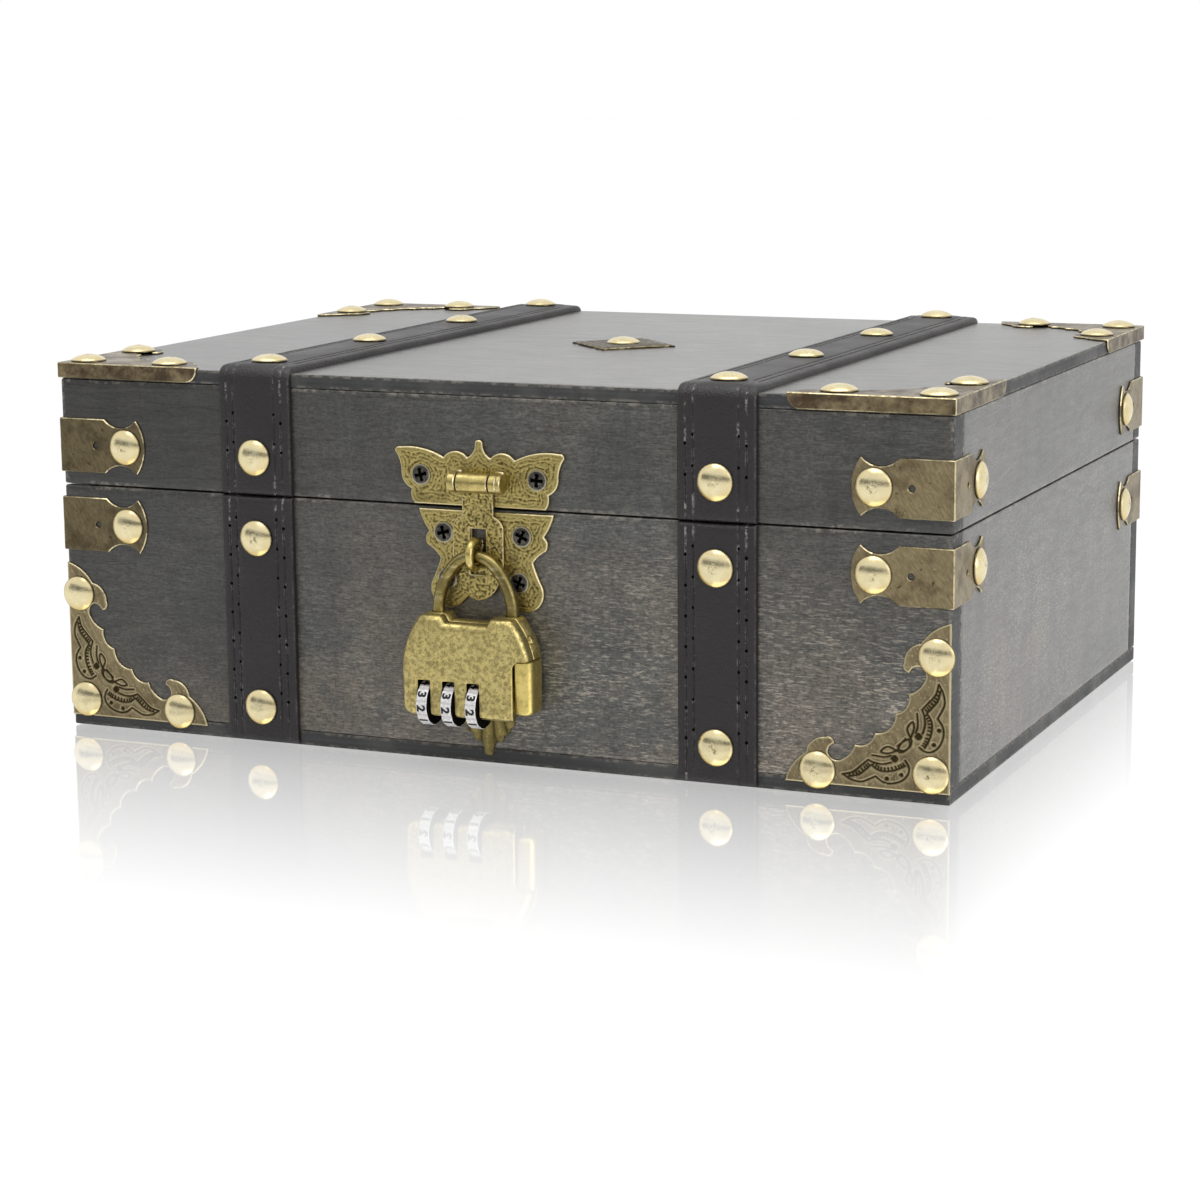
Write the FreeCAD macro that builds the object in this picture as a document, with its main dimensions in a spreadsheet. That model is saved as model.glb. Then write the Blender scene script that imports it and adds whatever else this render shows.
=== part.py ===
import FreeCAD, Part
import math
import os
from types import SimpleNamespace

# Treasure chest box: a stained wooden box with a hinged lid, leather straps,
# brass corner fittings, a butterfly hasp and a hanging dial padlock.
# The origin is the centre of the underside, the front faces -Y and +Z is up.

# Driving dimensions in millimetres
DIMENSIONS = {
    # Wooden box
    "box_width": 280.0,
    "box_depth": 210.0,
    "box_height": 111.0,
    "seam_height": 74.5,
    "seam_gap": 0.4,
    "wall_thickness": 8.0,
    "bottom_thickness": 4.5,
    "top_thickness": 4.2,
    # Leather straps
    "strap_width": 23.5,
    "strap_thickness": 2.5,
    "strap_floor_gap": 0.6,
    "strap_back_gap": 4.0,
    # Dome tacks
    "tack_diameter": 10.8,
    "tack_height": 2.1,
    "tack_shank_diameter": 1.6,
    "shank_clearance": 0.05,
    "strap_tack_above_seam": 11.2,
    "strap_tack_below_seam": 12.4,
    "strap_tack_above_floor": 11.2,
    "strap_tack_top_inset": 8.5,
    "strap_tack_top_pitch": 66.0,
    # Sheet brass fittings
    "sheet_thickness": 0.7,
    # Corner straps, folded round the upright edges
    "corner_strap_height": 16.4,
    "corner_strap_length": 28.8,
    "corner_strap_shoulder": 15.0,
    "corner_strap_tack": 22.2,
    "corner_strap_hole": 11.6,
    "corner_strap_hole_diameter": 1.8,
    "corner_strap_below_seam": 11.7,
    "corner_strap_back_drop": 7.0,
    # Ornate plates on the lower front corners
    "plate_rise": 3.2,
    "plate_leather_gap": 8.15,
    "plate_corner_strap_gap": 3.9,
    # Corner covers on the lid
    "cover_leather_gap": 8.15,
    "cover_flange": 3.9,
    # Diamond plate on the lid
    "diamond_half": 17.5,
    # Butterfly hasp
    "hasp_thickness": 1.2,
    "hasp_upper_width": 53.2,
    "hasp_upper_height": 19.0,
    "hasp_upper_rise": 0.4,
    "hasp_lower_width": 42.4,
    "hasp_lower_height": 28.3,
    "hasp_lower_drop": 0.6,
    "hasp_lower_shift": 1.9,
    "hasp_screw_shift": 0.95,
    "hasp_upper_screw_x": 18.3,
    "hasp_upper_screw_rise": 9.2,
    "hasp_lower_screw_x": 12.35,
    "hasp_lower_screw_drop": 7.2,
    "hasp_lobe_screw_x": 11.35,
    "hasp_lobe_screw_drop": 20.6,
    "hasp_pin_rise": 8.0,
    "hasp_pin_diameter": 2.0,
    "hasp_pin_head": 1.4,
    "hasp_barrel_diameter": 5.8,
    "hasp_barrel_length": 9.8,
    "hasp_ear_length": 2.4,
    "hasp_ear_gap": 0.4,
    "hasp_gap": 0.3,
    "running_clearance": 0.05,
    "flap_thickness": 1.0,
    "flap_width": 15.8,
    "flap_length": 34.2,
    "flap_slot_width": 5.2,
    "flap_slot_start": 13.4,
    "flap_slot_length": 13.4,
    # Staple that the padlock hangs from
    "staple_wire": 2.4,
    "staple_bore": 5.2,
    "staple_foot": 7.8,
    "staple_foot_depth": 2.0,
    # Small screws
    "screw_head_diameter": 6.0,
    "screw_head_height": 0.8,
    "screw_shank_diameter": 2.2,
    "screw_cross_length": 3.6,
    "screw_cross_width": 0.8,
    # Leaf ornament under the padlock
    "leaf_width": 16.6,
    "leaf_height": 30.0,
    "leaf_thickness": 0.8,
    "leaf_rise": 2.2,
    "leaf_shift": 1.4,
    # Back hinges
    "hinge_width": 33.0,
    "hinge_leaf_height": 14.0,
    "hinge_leaf_thickness": 1.0,
    "hinge_knuckle_diameter": 4.0,
    "hinge_wall_gap": 0.2,
    "hinge_knuckle_gap": 0.3,
    "hinge_pin_diameter": 1.9,
    "hinge_screw_x": 10.0,
    "hinge_screw_drop": 8.6,
    # Padlock
    "shackle_wire": 3.6,
    "shackle_span": 23.4,
    "shackle_bow_radius": 8.5,
    "shackle_drop": 21.0,
    "shackle_stand": 0.33,
    "shackle_rise": 16.6,
    "shackle_hang_gap": 0.3,
    "heel_depth": 15.0,
    "toe_depth": 6.0,
    "leg_clearance": 0.15,
    "shackle_travel": 7.0,
    "retainer_diameter": 1.4,
    "retainer_depth": 4.0,
    "retainer_length": 5.7,
    "groove_depth": 0.9,
    "groove_clearance": 0.1,
    "case_width": 40.4,
    "case_height": 29.4,
    "case_thickness": 11.8,
    "case_back_stand": 0.5,
    "case_top_width": 28.6,
    "case_recess_width": 15.4,
    "case_recess_depth": 2.0,
    "case_corner_radius": 3.2,
    "case_edge_radius": 2.2,
    "case_notch": 1.8,
    "dial_radius": 6.6,
    "dial_width": 3.3,
    "dial_bore": 3.1,
    "dial_pitch": 7.75,
    "dial_middle_x": -5.25,
    "dial_clearance": 0.3,
    "dial_proud": 1.9,
    "dial_drop": 3.3,
    "dial_window_height": 10.6,
    "spindle_diameter": 3.0,
    "spindle_seat": 1.5,
    "button_width": 5.0,
    "button_height": 15.6,
    "button_rise": 2.0,
    "button_inset": 0.4,
    "button_cover": 0.9,
    "button_clearance": 0.25,
    "button_travel": 2.0,
    "button_tongue_length": 4.8,
    "button_tongue_height": 4.0,
    "button_tongue_thickness": 3.0,
    "button_side_radius": 2.8,
    "button_edge_radius": 1.4,
    "button_window_radius": 2.4,
    # Overrun of every cut past the faces that it opens
    "cut_overrun": 1.0,
}

# Places across the box in shares of its width
STRAP_PLACE_SHARE = 0.2593
HINGE_PLACE_SHARE = 0.1286

# Middle and size of the lid's corner straps in shares of the lid's rise
LID_CORNER_STRAP_PLACE_SHARE = 0.3296
LID_CORNER_STRAP_SIZE_SHARE = 0.4543

# Tacks of the corner pieces in shares of their two legs
PLATE_TACK_SHARES = [(0.1095, 0.1095), (0.0821, 0.8), (0.8, 0.0821)]
COVER_TACK_SHARES = [(0.1305, 0.1305), (0.7263, 0.1305), (0.1305, 0.7263)]

# Share of a panel or wall that a shank bites into
TACK_BITE_SHARE = 0.8
SCREW_BITE_SHARE = 0.75

# Outlines in shares of their width and height. A pair is the end of a straight
# stretch, and four numbers are the end of an arc and a point that it passes.
CORNER_STRAP_SHARES = {"ear_length": 0.9, "neck_length": 0.67, "neck_height": 0.707}
ORNATE_SHARES = [
    (0.0, 1.0),
    (0.18, 0.872, 0.086, 0.965),
    (0.28, 0.755, 0.255, 0.83),
    (0.246, 0.7, 0.276, 0.712),
    (0.184, 0.738, 0.222, 0.73),
    (0.149, 0.668, 0.153, 0.708),
    (0.25, 0.573, 0.185, 0.612),
    (0.328, 0.452, 0.262, 0.497),
    (0.452, 0.328, 0.362, 0.362),
]
UPPER_PLATE_SHARES = [
    (0.0, 1.0),
    (0.041, 0.947, 0.032, 0.987),
    (0.045, 0.884),
    (0.139, 0.732, 0.083, 0.789),
    (0.421, 0.716, 0.27, 0.82),
    (0.947, 0.847, 0.684, 0.842),
    (1.0, 0.784, 0.99, 0.826),
    (0.929, 0.453, 0.94, 0.605),
    (0.808, 0.221, 0.887, 0.3),
    (0.774, 0.0, 0.812, 0.1),
    (0.0, 0.0),
]
LOWER_PLATE_SHARES = [
    (0.0, 0.0),
    (1.0, 0.0),
    (0.85, 0.229, 0.955, 0.1),
    (0.88, 0.371, 0.905, 0.305),
    (0.687, 0.5, 0.765, 0.43),
    (0.806, 0.72, 0.73, 0.595),
    (0.627, 1.0, 0.79, 0.925),
    (0.36, 0.94, 0.48, 1.0),
    (0.2, 0.8, 0.27, 0.87),
    (0.0, 0.673, 0.1, 0.7),
]
FLAP_SHARES = [
    (0.0, 0.0),
    (0.608, 0.0),
    (0.608, 0.287),
    (1.0, 0.427, 0.886, 0.33),
    (1.0, 0.667),
    (0.772, 0.86, 0.924, 0.766),
    (0.0, 1.0, 0.53, 0.945),
]
LEAF_SHARES = [
    (0.0, 0.0),
    (0.17, 0.06, 0.13, 0.015),
    (0.31, 0.155, 0.25, 0.115),
    (0.57, 0.205, 0.46, 0.145),
    (0.84, 0.285, 0.74, 0.225),
    (1.0, 0.37, 0.95, 0.31),
    (0.7, 0.72, 0.98, 0.54),
    (0.0, 1.0, 0.45, 0.92),
]
CASE_SHOULDER_SHARES = {"middle": (0.9, 0.79), "end": (1.0, 0.36)}
DIAMOND_SCALLOPS = 5
DIAMOND_SCALLOP_SHARE = 0.03

V = FreeCAD.Vector
UP = V(0, 0, 1)
RIGHT = V(1, 0, 0)
FRONT = V(0, -1, 0)

doc = FreeCAD.newDocument("treasure_chest_box")
sheet = doc.addObject("Spreadsheet::Sheet", "dims")
for row, (alias, value) in enumerate(DIMENSIONS.items(), start=1):
    sheet.set(f"A{row}", str(value))
    sheet.setAlias(f"A{row}", alias)
doc.recompute()
d = SimpleNamespace(**{alias: float(sheet.get(alias)) for alias in DIMENSIONS})

# Places that several pieces share
half_width = d.box_width / 2
half_depth = d.box_depth / 2
lid_bottom = d.seam_height + d.seam_gap
lid_rise = d.box_height - lid_bottom
strap_x = d.box_width * STRAP_PLACE_SHARE
strap_room = half_width - strap_x - d.strap_width / 2
hinge_x = d.box_width * HINGE_PLACE_SHARE
plate_face = -half_depth - d.hasp_thickness
pin_y = plate_face - d.hasp_gap - d.hasp_barrel_diameter / 2
pin_z = d.seam_height + d.hasp_pin_rise
flap_back = pin_y + d.hasp_barrel_diameter / 2
shackle_y = pin_y - d.shackle_stand
crest_z = pin_z - d.shackle_drop
case_top = crest_z - d.shackle_rise
case_bottom = case_top - d.case_height
case_back = -half_depth - d.leaf_thickness - d.case_back_stand
case_front = case_back - d.case_thickness
dial_y = case_front - d.dial_proud + d.dial_radius
dial_z = case_bottom - d.dial_drop + d.dial_radius
hinge_y = half_depth + d.hinge_wall_gap + d.hinge_knuckle_diameter / 2
hinge_z = d.seam_height + d.seam_gap / 2

# Faces of the box: a point on each from its two coordinates, and the way out
FACES = {
    "front": (lambda u, v: V(u, -half_depth, v), V(0, -1, 0)),
    "back": (lambda u, v: V(u, half_depth, v), V(0, 1, 0)),
    "left": (lambda u, v: V(-half_width, u, v), V(-1, 0, 0)),
    "right": (lambda u, v: V(half_width, u, v), V(1, 0, 0)),
    "top": (lambda u, v: V(u, v, d.box_height), V(0, 0, 1)),
}
SIDES = {"left": -1, "right": 1}
ENDS = {"front": -1, "back": 1}

pieces = {}
cutters = {}
groups = {}


# Basic solids

def block(name, size, corner):
    """A box from formulas for its three sizes and its lowest corner."""
    box = doc.addObject("Part::Box", name)
    for prop, formula in zip(("Length", "Width", "Height"), size):
        box.setExpression(prop, formula)
    for axis, formula in zip("xyz", corner):
        box.setExpression(f"Placement.Base.{axis}", formula)
    return box


def solid_block(name, low, high):
    """A box between two corners."""
    box = doc.addObject("Part::Box", name)
    box.Length = high.x - low.x
    box.Width = high.y - low.y
    box.Height = high.z - low.z
    box.Placement.Base = low
    return box


def rod(name, radius, start, direction, length):
    """A cylinder from its radius formula, start point, direction and length."""
    cylinder = doc.addObject("Part::Cylinder", name)
    cylinder.setExpression("Radius", radius)
    cylinder.Height = length
    cylinder.Placement = FreeCAD.Placement(start, FreeCAD.Rotation(UP, direction))
    return cylinder


def fuse(name, shapes):
    """One solid from several that meet."""
    joined = doc.addObject("Part::MultiFuse", name)
    joined.Shapes = shapes
    return joined


def cut(name, base, tools):
    """A solid less several others."""
    tool = tools[0]
    if len(tools) > 1:
        tool = doc.addObject("Part::Compound", f"{name}_cutters")
        tool.Links = tools
    remainder = doc.addObject("Part::Cut", name)
    remainder.Base = base
    remainder.Tool = tool
    return remainder


# Outlines

def steps(path, width, height):
    """Stretches of a path given in shares: start, passing point or none, end."""
    size = (width, height)
    scaled = [[share * size[index % 2] for index, share in enumerate(entry)] for entry in path]
    stretches = []
    for before, entry in zip(scaled, scaled[1:]):
        via = V(entry[2], entry[3], 0) if len(entry) > 2 else None
        stretches.append((V(before[0], before[1], 0), via, V(entry[0], entry[1], 0)))
    return stretches


def turned(stretches, change):
    """Stretches with every point changed by a function."""
    return [(change(start), via and change(via), change(end)) for start, via, end in stretches]


def backwards(stretches):
    """The same stretches run from the other end."""
    return [(end, via, start) for start, via, end in reversed(stretches)]


def mirrored(stretches):
    """A closed outline from a half that starts and ends on the middle line."""
    return stretches + backwards(turned(stretches, lambda p: V(-p.x, p.y, 0)))


def polygon(points):
    """A closed outline of straight stretches."""
    corners = [V(u, v, 0) for u, v in points]
    return [(start, None, end) for start, end in zip(corners, corners[1:] + corners[:1])]


def curves(stretches):
    """Drawn lines and arcs of an outline."""
    return [Part.Arc(start, via, end) if via else Part.LineSegment(start, end) for start, via, end in stretches]


def ring(centre, radius):
    """A drawn full circle."""
    return Part.Circle(centre, UP, radius)


# Bodies that are drawn and padded

def new_body(name, base):
    """An empty body at a point, or at a place given by three formulas."""
    body = doc.addObject("PartDesign::Body", name)
    if isinstance(base, FreeCAD.Vector):
        body.Placement.Base = base
        return body
    for axis, formula in zip("xyz", base):
        body.setExpression(f"Placement.Base.{axis}", formula)
    return body


def sketch_on(body, name, role, drawn, offset=0.0):
    """A sketch on one of the body's own planes, moved along its normal."""
    sketch = body.newObject("Sketcher::SketchObject", name)
    plane = next(feature for feature in body.Origin.OriginFeatures if feature.Role == role)
    sketch.AttachmentSupport = (plane, [""])
    sketch.MapMode = "FlatFace"
    sketch.AttachmentOffset = FreeCAD.Placement(V(0, 0, offset), FreeCAD.Rotation())
    sketch.addGeometry(drawn, False)
    return sketch


def pad_on(body, name, role, drawn, length, back=False, middle=False, offset=0.0):
    """Adds a padded sketch whose length is a formula."""
    sketch = sketch_on(body, f"{name}_sketch", role, drawn, offset)
    pad = body.newObject("PartDesign::Pad", name)
    pad.Profile = sketch
    pad.setExpression("Length", length)
    pad.Reversed = back
    pad.Midplane = middle
    return pad


# Pieces, the cuts in them and their fasteners

def keep(label, shape):
    """Registers a piece under its own name."""
    pieces[label] = shape


def open_in(label, *tools):
    """Adds cuts to a piece."""
    cutters.setdefault(label, []).extend(tools)


def shank_of(name, radius, length, bite):
    """The plain shank of a fastener, from its bite in the wood to its seat."""
    shank = doc.addObject("Part::Cylinder", f"{name}_shank")
    shank.setExpression("Radius", radius)
    shank.setExpression("Height", length)
    shank.setExpression("Placement.Base.z", f"-({bite})")
    return shank


def tack_pattern(name, seat):
    """A dome tack on a carrier as thick as the seat, with its shank in the wood below."""
    bite = f"dims.top_thickness * {TACK_BITE_SHARE}"
    dome_radius = "(dims.tack_diameter ^ 2 / 4 + dims.tack_height ^ 2) / (2 * dims.tack_height)"
    dome = doc.addObject("Part::Sphere", f"{name}_dome")
    dome.setExpression("Radius", dome_radius)
    dome.setExpression("Angle1", f"asin(1 - dims.tack_height / ({dome_radius}))")
    dome.setExpression("Placement.Base.z", f"dims.{seat} + dims.tack_height - {dome_radius}")
    radius = "dims.tack_shank_diameter / 2"
    length = f"dims.{seat} + {bite}"
    shape = fuse(name, [dome, shank_of(name, radius, length, bite)])
    return SimpleNamespace(shape=shape, radius=radius, length=length, depth=d.top_thickness * TACK_BITE_SHARE)


def screw_pattern(name, seat):
    """A low cross-recess screw on a carrier as thick as the seat, with its shank in the wood below."""
    bite = f"dims.wall_thickness * {SCREW_BITE_SHARE}"
    head = doc.addObject("Part::Cylinder", f"{name}_head")
    head.setExpression("Radius", "dims.screw_head_diameter / 2")
    head.setExpression("Height", "dims.screw_head_height")
    head.setExpression("Placement.Base.z", f"dims.{seat}")
    radius = "dims.screw_shank_diameter / 2"
    length = f"dims.{seat} + {bite}"
    shank = shank_of(name, radius, length, bite)
    slots = []
    for along, across in (("length", "width"), ("width", "length")):
        size = (f"dims.screw_cross_{along}", f"dims.screw_cross_{across}", "dims.screw_head_height")
        corner = (f"-dims.screw_cross_{along} / 2", f"-dims.screw_cross_{across} / 2",
                  f"dims.{seat} + dims.screw_head_height / 2")
        slots.append(block(f"{name}_slot_{along}", size, corner))
    shape = cut(name, fuse(f"{name}_blank", [head, shank]), slots)
    return SimpleNamespace(shape=shape, radius=radius, length=length, depth=d.wall_thickness * SCREW_BITE_SHARE)


def fasten(group, pattern, face, u, v, *carriers):
    """Sets one fastener on a face and opens its hole in everything that it holds."""
    place, outward = FACES[face]
    turn = FreeCAD.Rotation(UP, outward)
    members = groups.setdefault(group, [])
    name = f"{group}_{len(members)}"
    fastener = doc.addObject("App::Link", name)
    fastener.LinkedObject = pattern.shape
    fastener.Placement = FreeCAD.Placement(place(u, v), turn)
    members.append(fastener)
    hole = doc.addObject("Part::Cylinder", f"{name}_hole")
    hole.setExpression("Radius", f"{pattern.radius} + dims.shank_clearance")
    hole.setExpression("Height", f"{pattern.length} + dims.shank_clearance + dims.cut_overrun")
    foot = place(u, v) - outward * (pattern.depth + d.shank_clearance)
    hole.Placement = FreeCAD.Placement(foot, turn)
    for label in carriers:
        open_in(label, hole)


# Wooden walls and panels
WALL_SIZES = {
    "front": ("dims.box_width", "dims.wall_thickness"),
    "back": ("dims.box_width", "dims.wall_thickness"),
    "left": ("dims.wall_thickness", "dims.box_depth - 2 * dims.wall_thickness"),
    "right": ("dims.wall_thickness", "dims.box_depth - 2 * dims.wall_thickness"),
}
WALL_CORNERS = {
    "front": ("-dims.box_width / 2", "-dims.box_depth / 2"),
    "back": ("-dims.box_width / 2", "dims.box_depth / 2 - dims.wall_thickness"),
    "left": ("-dims.box_width / 2", "dims.wall_thickness - dims.box_depth / 2"),
    "right": ("dims.box_width / 2 - dims.wall_thickness", "dims.wall_thickness - dims.box_depth / 2"),
}
STORIES = {
    "base": ("dims.bottom_thickness", "dims.seam_height - dims.bottom_thickness"),
    "lid": ("dims.seam_height + dims.seam_gap",
            "dims.box_height - dims.top_thickness - dims.seam_height - dims.seam_gap"),
}
for story, (foot, rise) in STORIES.items():
    for side in WALL_SIZES:
        label = f"{story}_{side}_wall"
        keep(label, block(f"{label}_blank", (*WALL_SIZES[side], rise), (*WALL_CORNERS[side], foot)))
for label, foot, rise in (
    ("base_bottom_panel", "0", "dims.bottom_thickness"),
    ("lid_top_panel", "dims.box_height - dims.top_thickness", "dims.top_thickness"),
):
    size = ("dims.box_width", "dims.box_depth", rise)
    keep(label, block(f"{label}_blank", size, ("-dims.box_width / 2", "-dims.box_depth / 2", foot)))

# Leather straps with rounded bends over the lid's edges
strap_tack = tack_pattern("strap_tack", "strap_thickness")


def lid_strap_outline():
    """The side view of a strap that hangs over the front, runs across the top and hangs over the back."""
    top = d.box_height
    reach = half_depth + d.strap_thickness
    round_off = d.strap_thickness / math.sqrt(2)
    back_end = lid_bottom + d.strap_back_gap
    run = [
        (-half_depth, lid_bottom), (-half_depth, top), (half_depth, top), (half_depth, back_end),
        (reach, back_end), (reach, top),
    ]
    corners = [V(y, z, 0) for y, z in run]
    outline = [(start, None, end) for start, end in zip(corners, corners[1:])]
    outer_top = top + d.strap_thickness
    bend_reach = half_depth + round_off
    back_bend = (corners[-1], V(bend_reach, top + round_off, 0), V(half_depth, outer_top, 0))
    front_bend = (V(-half_depth, outer_top, 0), V(-bend_reach, top + round_off, 0), V(-reach, top, 0))
    outline.append(back_bend)
    outline.append((back_bend[2], None, front_bend[0]))
    outline.append(front_bend)
    outline.append((front_bend[2], None, V(-reach, lid_bottom, 0)))
    outline.append((V(-reach, lid_bottom, 0), None, corners[0]))
    return outline


for side, sign in SIDES.items():
    x = sign * strap_x
    strap = f"lid_strap_{side}"
    body = new_body(f"{strap}_body", (f"{sign} * dims.box_width * {STRAP_PLACE_SHARE}", "0", "0"))
    pad_on(body, f"{strap}_pad", "YZ_Plane", curves(lid_strap_outline()), "dims.strap_width", middle=True)
    keep(strap, body)
    top_inset = half_depth - d.strap_tack_top_inset
    for y in (-top_inset, -d.strap_tack_top_pitch / 2, d.strap_tack_top_pitch / 2, top_inset):
        fasten("lid_strap_tacks", strap_tack, "top", x, y, strap, "lid_top_panel")
    for end in ENDS:
        lid_z = lid_bottom + d.strap_tack_above_seam
        fasten("lid_strap_tacks", strap_tack, end, x, lid_z, strap, f"lid_{end}_wall")
        label = f"base_{end}_strap_{side}"
        gap = "0" if end == "front" else "dims.strap_back_gap"
        near = "-dims.box_depth / 2 - dims.strap_thickness" if end == "front" else "dims.box_depth / 2"
        size = ("dims.strap_width", "dims.strap_thickness", f"dims.seam_height - dims.strap_floor_gap - {gap}")
        left_edge = f"{sign} * dims.box_width * {STRAP_PLACE_SHARE} - dims.strap_width / 2"
        corner = (left_edge, near, "dims.strap_floor_gap")
        keep(label, block(f"{label}_blank", size, corner))
        for z in (d.seam_height - d.strap_tack_below_seam, d.strap_tack_above_floor):
            fasten("base_strap_tacks", strap_tack, end, x, z, label, f"base_{end}_wall")

# Brass corner straps, each folded round an upright edge
sheet_tack = tack_pattern("sheet_tack", "sheet_thickness")


def corner_strap_outline(along, height):
    """One leg of a corner strap from the fold outwards: shoulder, neck, ears and a bowed end."""
    half = height / 2
    neck_half = half * CORNER_STRAP_SHARES["neck_height"]
    ear = d.corner_strap_length * CORNER_STRAP_SHARES["ear_length"]
    neck = d.corner_strap_length * CORNER_STRAP_SHARES["neck_length"]
    fold = -d.sheet_thickness
    low = [
        (V(fold, -half, 0), None, V(d.corner_strap_shoulder, -half, 0)),
        (V(d.corner_strap_shoulder, -half, 0), V(neck, -neck_half, 0), V(ear, -half, 0)),
    ]
    bow = [(V(ear, -half, 0), V(d.corner_strap_length, 0, 0), V(ear, half, 0))]
    high = backwards(turned(low, lambda p: V(p.x, -p.y, 0)))
    closing = [(V(fold, half, 0), None, V(fold, -half, 0))]
    outline = turned(low + bow + high + closing, lambda p: V(along * p.x, p.y, 0))
    hole = ring(V(along * d.corner_strap_hole, 0, 0), d.corner_strap_hole_diameter / 2)
    return curves(outline) + [hole]


def corner_strap(story, side, end, height, centre):
    """A folded strap on one corner, with the place of its middle given as a formula above the floor."""
    across = SIDES[side]
    out = ENDS[end]
    label = f"{story}_corner_strap_{end}_{side}"
    body = new_body(f"{label}_body", (f"{across} * dims.box_width / 2", f"{out} * dims.box_depth / 2", centre))
    drawn = corner_strap_outline(-across, height)
    pad_on(body, f"{label}_face", "XZ_Plane", drawn, "dims.sheet_thickness", back=out > 0)
    drawn = corner_strap_outline(-out, height)
    pad_on(body, f"{label}_side", "YZ_Plane", drawn, "dims.sheet_thickness", back=across < 0)
    keep(label, body)
    doc.recompute([body])
    z = body.Placement.Base.z
    group = f"{story}_corner_strap_tacks"
    fasten(group, sheet_tack, end, across * (half_width - d.corner_strap_tack), z, label, f"{story}_{end}_wall")
    fasten(group, sheet_tack, side, out * (half_depth - d.corner_strap_tack), z, label, f"{story}_{side}_wall")


lid_strap_height = lid_rise * LID_CORNER_STRAP_SIZE_SHARE
lid_foot = "(dims.seam_height + dims.seam_gap)"
lid_strap_centre = f"{lid_foot} + (dims.box_height - {lid_foot}) * {LID_CORNER_STRAP_PLACE_SHARE}"
for side in SIDES:
    for end in ENDS:
        drop = " - dims.corner_strap_back_drop" if end == "back" else ""
        base_strap_centre = f"dims.seam_height - dims.corner_strap_below_seam{drop}"
        corner_strap("lid", side, end, lid_strap_height, lid_strap_centre)
        corner_strap("base", side, end, d.corner_strap_height, base_strap_centre)


# Ornate plates on the lower front corners and folded covers on the lid's corners

def ornate_outline(wide, tall):
    """A corner plate with two pointed tips, curled hooks and a scalloped inner edge."""
    half = steps(ORNATE_SHARES, 1, 1)
    inner = half + backwards(turned(half[:-1], lambda p: V(p.y, p.x, 0)))
    legs = [(inner[-1][2], None, V(0, 0, 0)), (V(0, 0, 0), None, inner[0][0])]
    return turned(inner + legs, lambda p: V(wide * p.x, tall * p.y, 0))


plate_wide = strap_room - d.plate_leather_gap
strap_low_edge = d.seam_height - d.corner_strap_below_seam - d.corner_strap_height / 2
plate_tall = strap_low_edge - d.plate_corner_strap_gap - d.plate_rise
for side, sign in SIDES.items():
    label = f"ornate_corner_plate_{side}"
    base = (f"{sign} * dims.box_width / 2", "-dims.box_depth / 2", "dims.plate_rise")
    body = new_body(f"{label}_body", base)
    drawn = curves(ornate_outline(-sign * plate_wide, plate_tall))
    pad_on(body, f"{label}_pad", "XZ_Plane", drawn, "dims.sheet_thickness")
    keep(label, body)
    for inward, upward in PLATE_TACK_SHARES:
        x = sign * (half_width - plate_wide * inward)
        z = d.plate_rise + plate_tall * upward
        fasten("ornate_plate_tacks", sheet_tack, "front", x, z, label, "base_front_wall")


cover_leg = strap_room - d.cover_leather_gap


def flange_outline(along):
    """A narrow flange under the lid's edge with a rounded far end."""
    tip = V(cover_leg, 0, 0)
    turn = V(cover_leg - d.cover_flange, -d.cover_flange, 0)
    bend = d.cover_flange / math.sqrt(2)
    via = V(turn.x + bend, turn.y + d.cover_flange - bend, 0)
    fold = -d.sheet_thickness
    top = d.sheet_thickness
    outline = [
        (V(fold, -d.cover_flange, 0), None, turn),
        (turn, via, tip),
        (tip, None, V(cover_leg, top, 0)),
        (V(cover_leg, top, 0), None, V(fold, top, 0)),
        (V(fold, top, 0), None, V(fold, -d.cover_flange, 0)),
    ]
    return curves(turned(outline, lambda p: V(along * p.x, p.y, 0)))


for side, across in SIDES.items():
    for end, out in ENDS.items():
        label = f"lid_corner_cover_{end}_{side}"
        base = (f"{across} * dims.box_width / 2", f"{out} * dims.box_depth / 2", "dims.box_height")
        body = new_body(f"{label}_body", base)
        drawn = curves(ornate_outline(-across * cover_leg, -out * cover_leg))
        pad_on(body, f"{label}_top", "XY_Plane", drawn, "dims.sheet_thickness")
        pad_on(body, f"{label}_face", "XZ_Plane", flange_outline(-across), "dims.sheet_thickness", back=out > 0)
        pad_on(body, f"{label}_side", "YZ_Plane", flange_outline(-out), "dims.sheet_thickness", back=across < 0)
        keep(label, body)
        for inward, along in COVER_TACK_SHARES:
            x = across * (half_width - cover_leg * inward)
            y = out * (half_depth - cover_leg * along)
            fasten("lid_cover_tacks", sheet_tack, "top", x, y, label, "lid_top_panel")


# Diamond plate and its tack in the middle of the lid

def diamond_outline():
    """A square on its corner with scalloped edges."""
    half = d.diamond_half
    tips = [V(half, 0, 0), V(0, half, 0), V(-half, 0, 0), V(0, -half, 0)]
    outline = []
    for start, end in zip(tips, tips[1:] + tips[:1]):
        inward = (start + end) * -DIAMOND_SCALLOP_SHARE
        for index in range(DIAMOND_SCALLOPS):
            first = start + (end - start) * (index / DIAMOND_SCALLOPS)
            last = start + (end - start) * ((index + 1) / DIAMOND_SCALLOPS)
            outline.append((first, (first + last) * 0.5 + inward, last))
    return outline


diamond = new_body("diamond_plate_body", ("0", "0", "dims.box_height"))
pad_on(diamond, "diamond_plate_pad", "XY_Plane", curves(diamond_outline()), "dims.sheet_thickness")
keep("diamond_plate", diamond)
fasten("diamond_tack", sheet_tack, "top", 0, 0, "diamond_plate", "lid_top_panel")

# Butterfly hasp: upper plate with two ears, lower plate, flap and pin
hasp_screw = screw_pattern("hasp_screw", "hasp_thickness")

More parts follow.
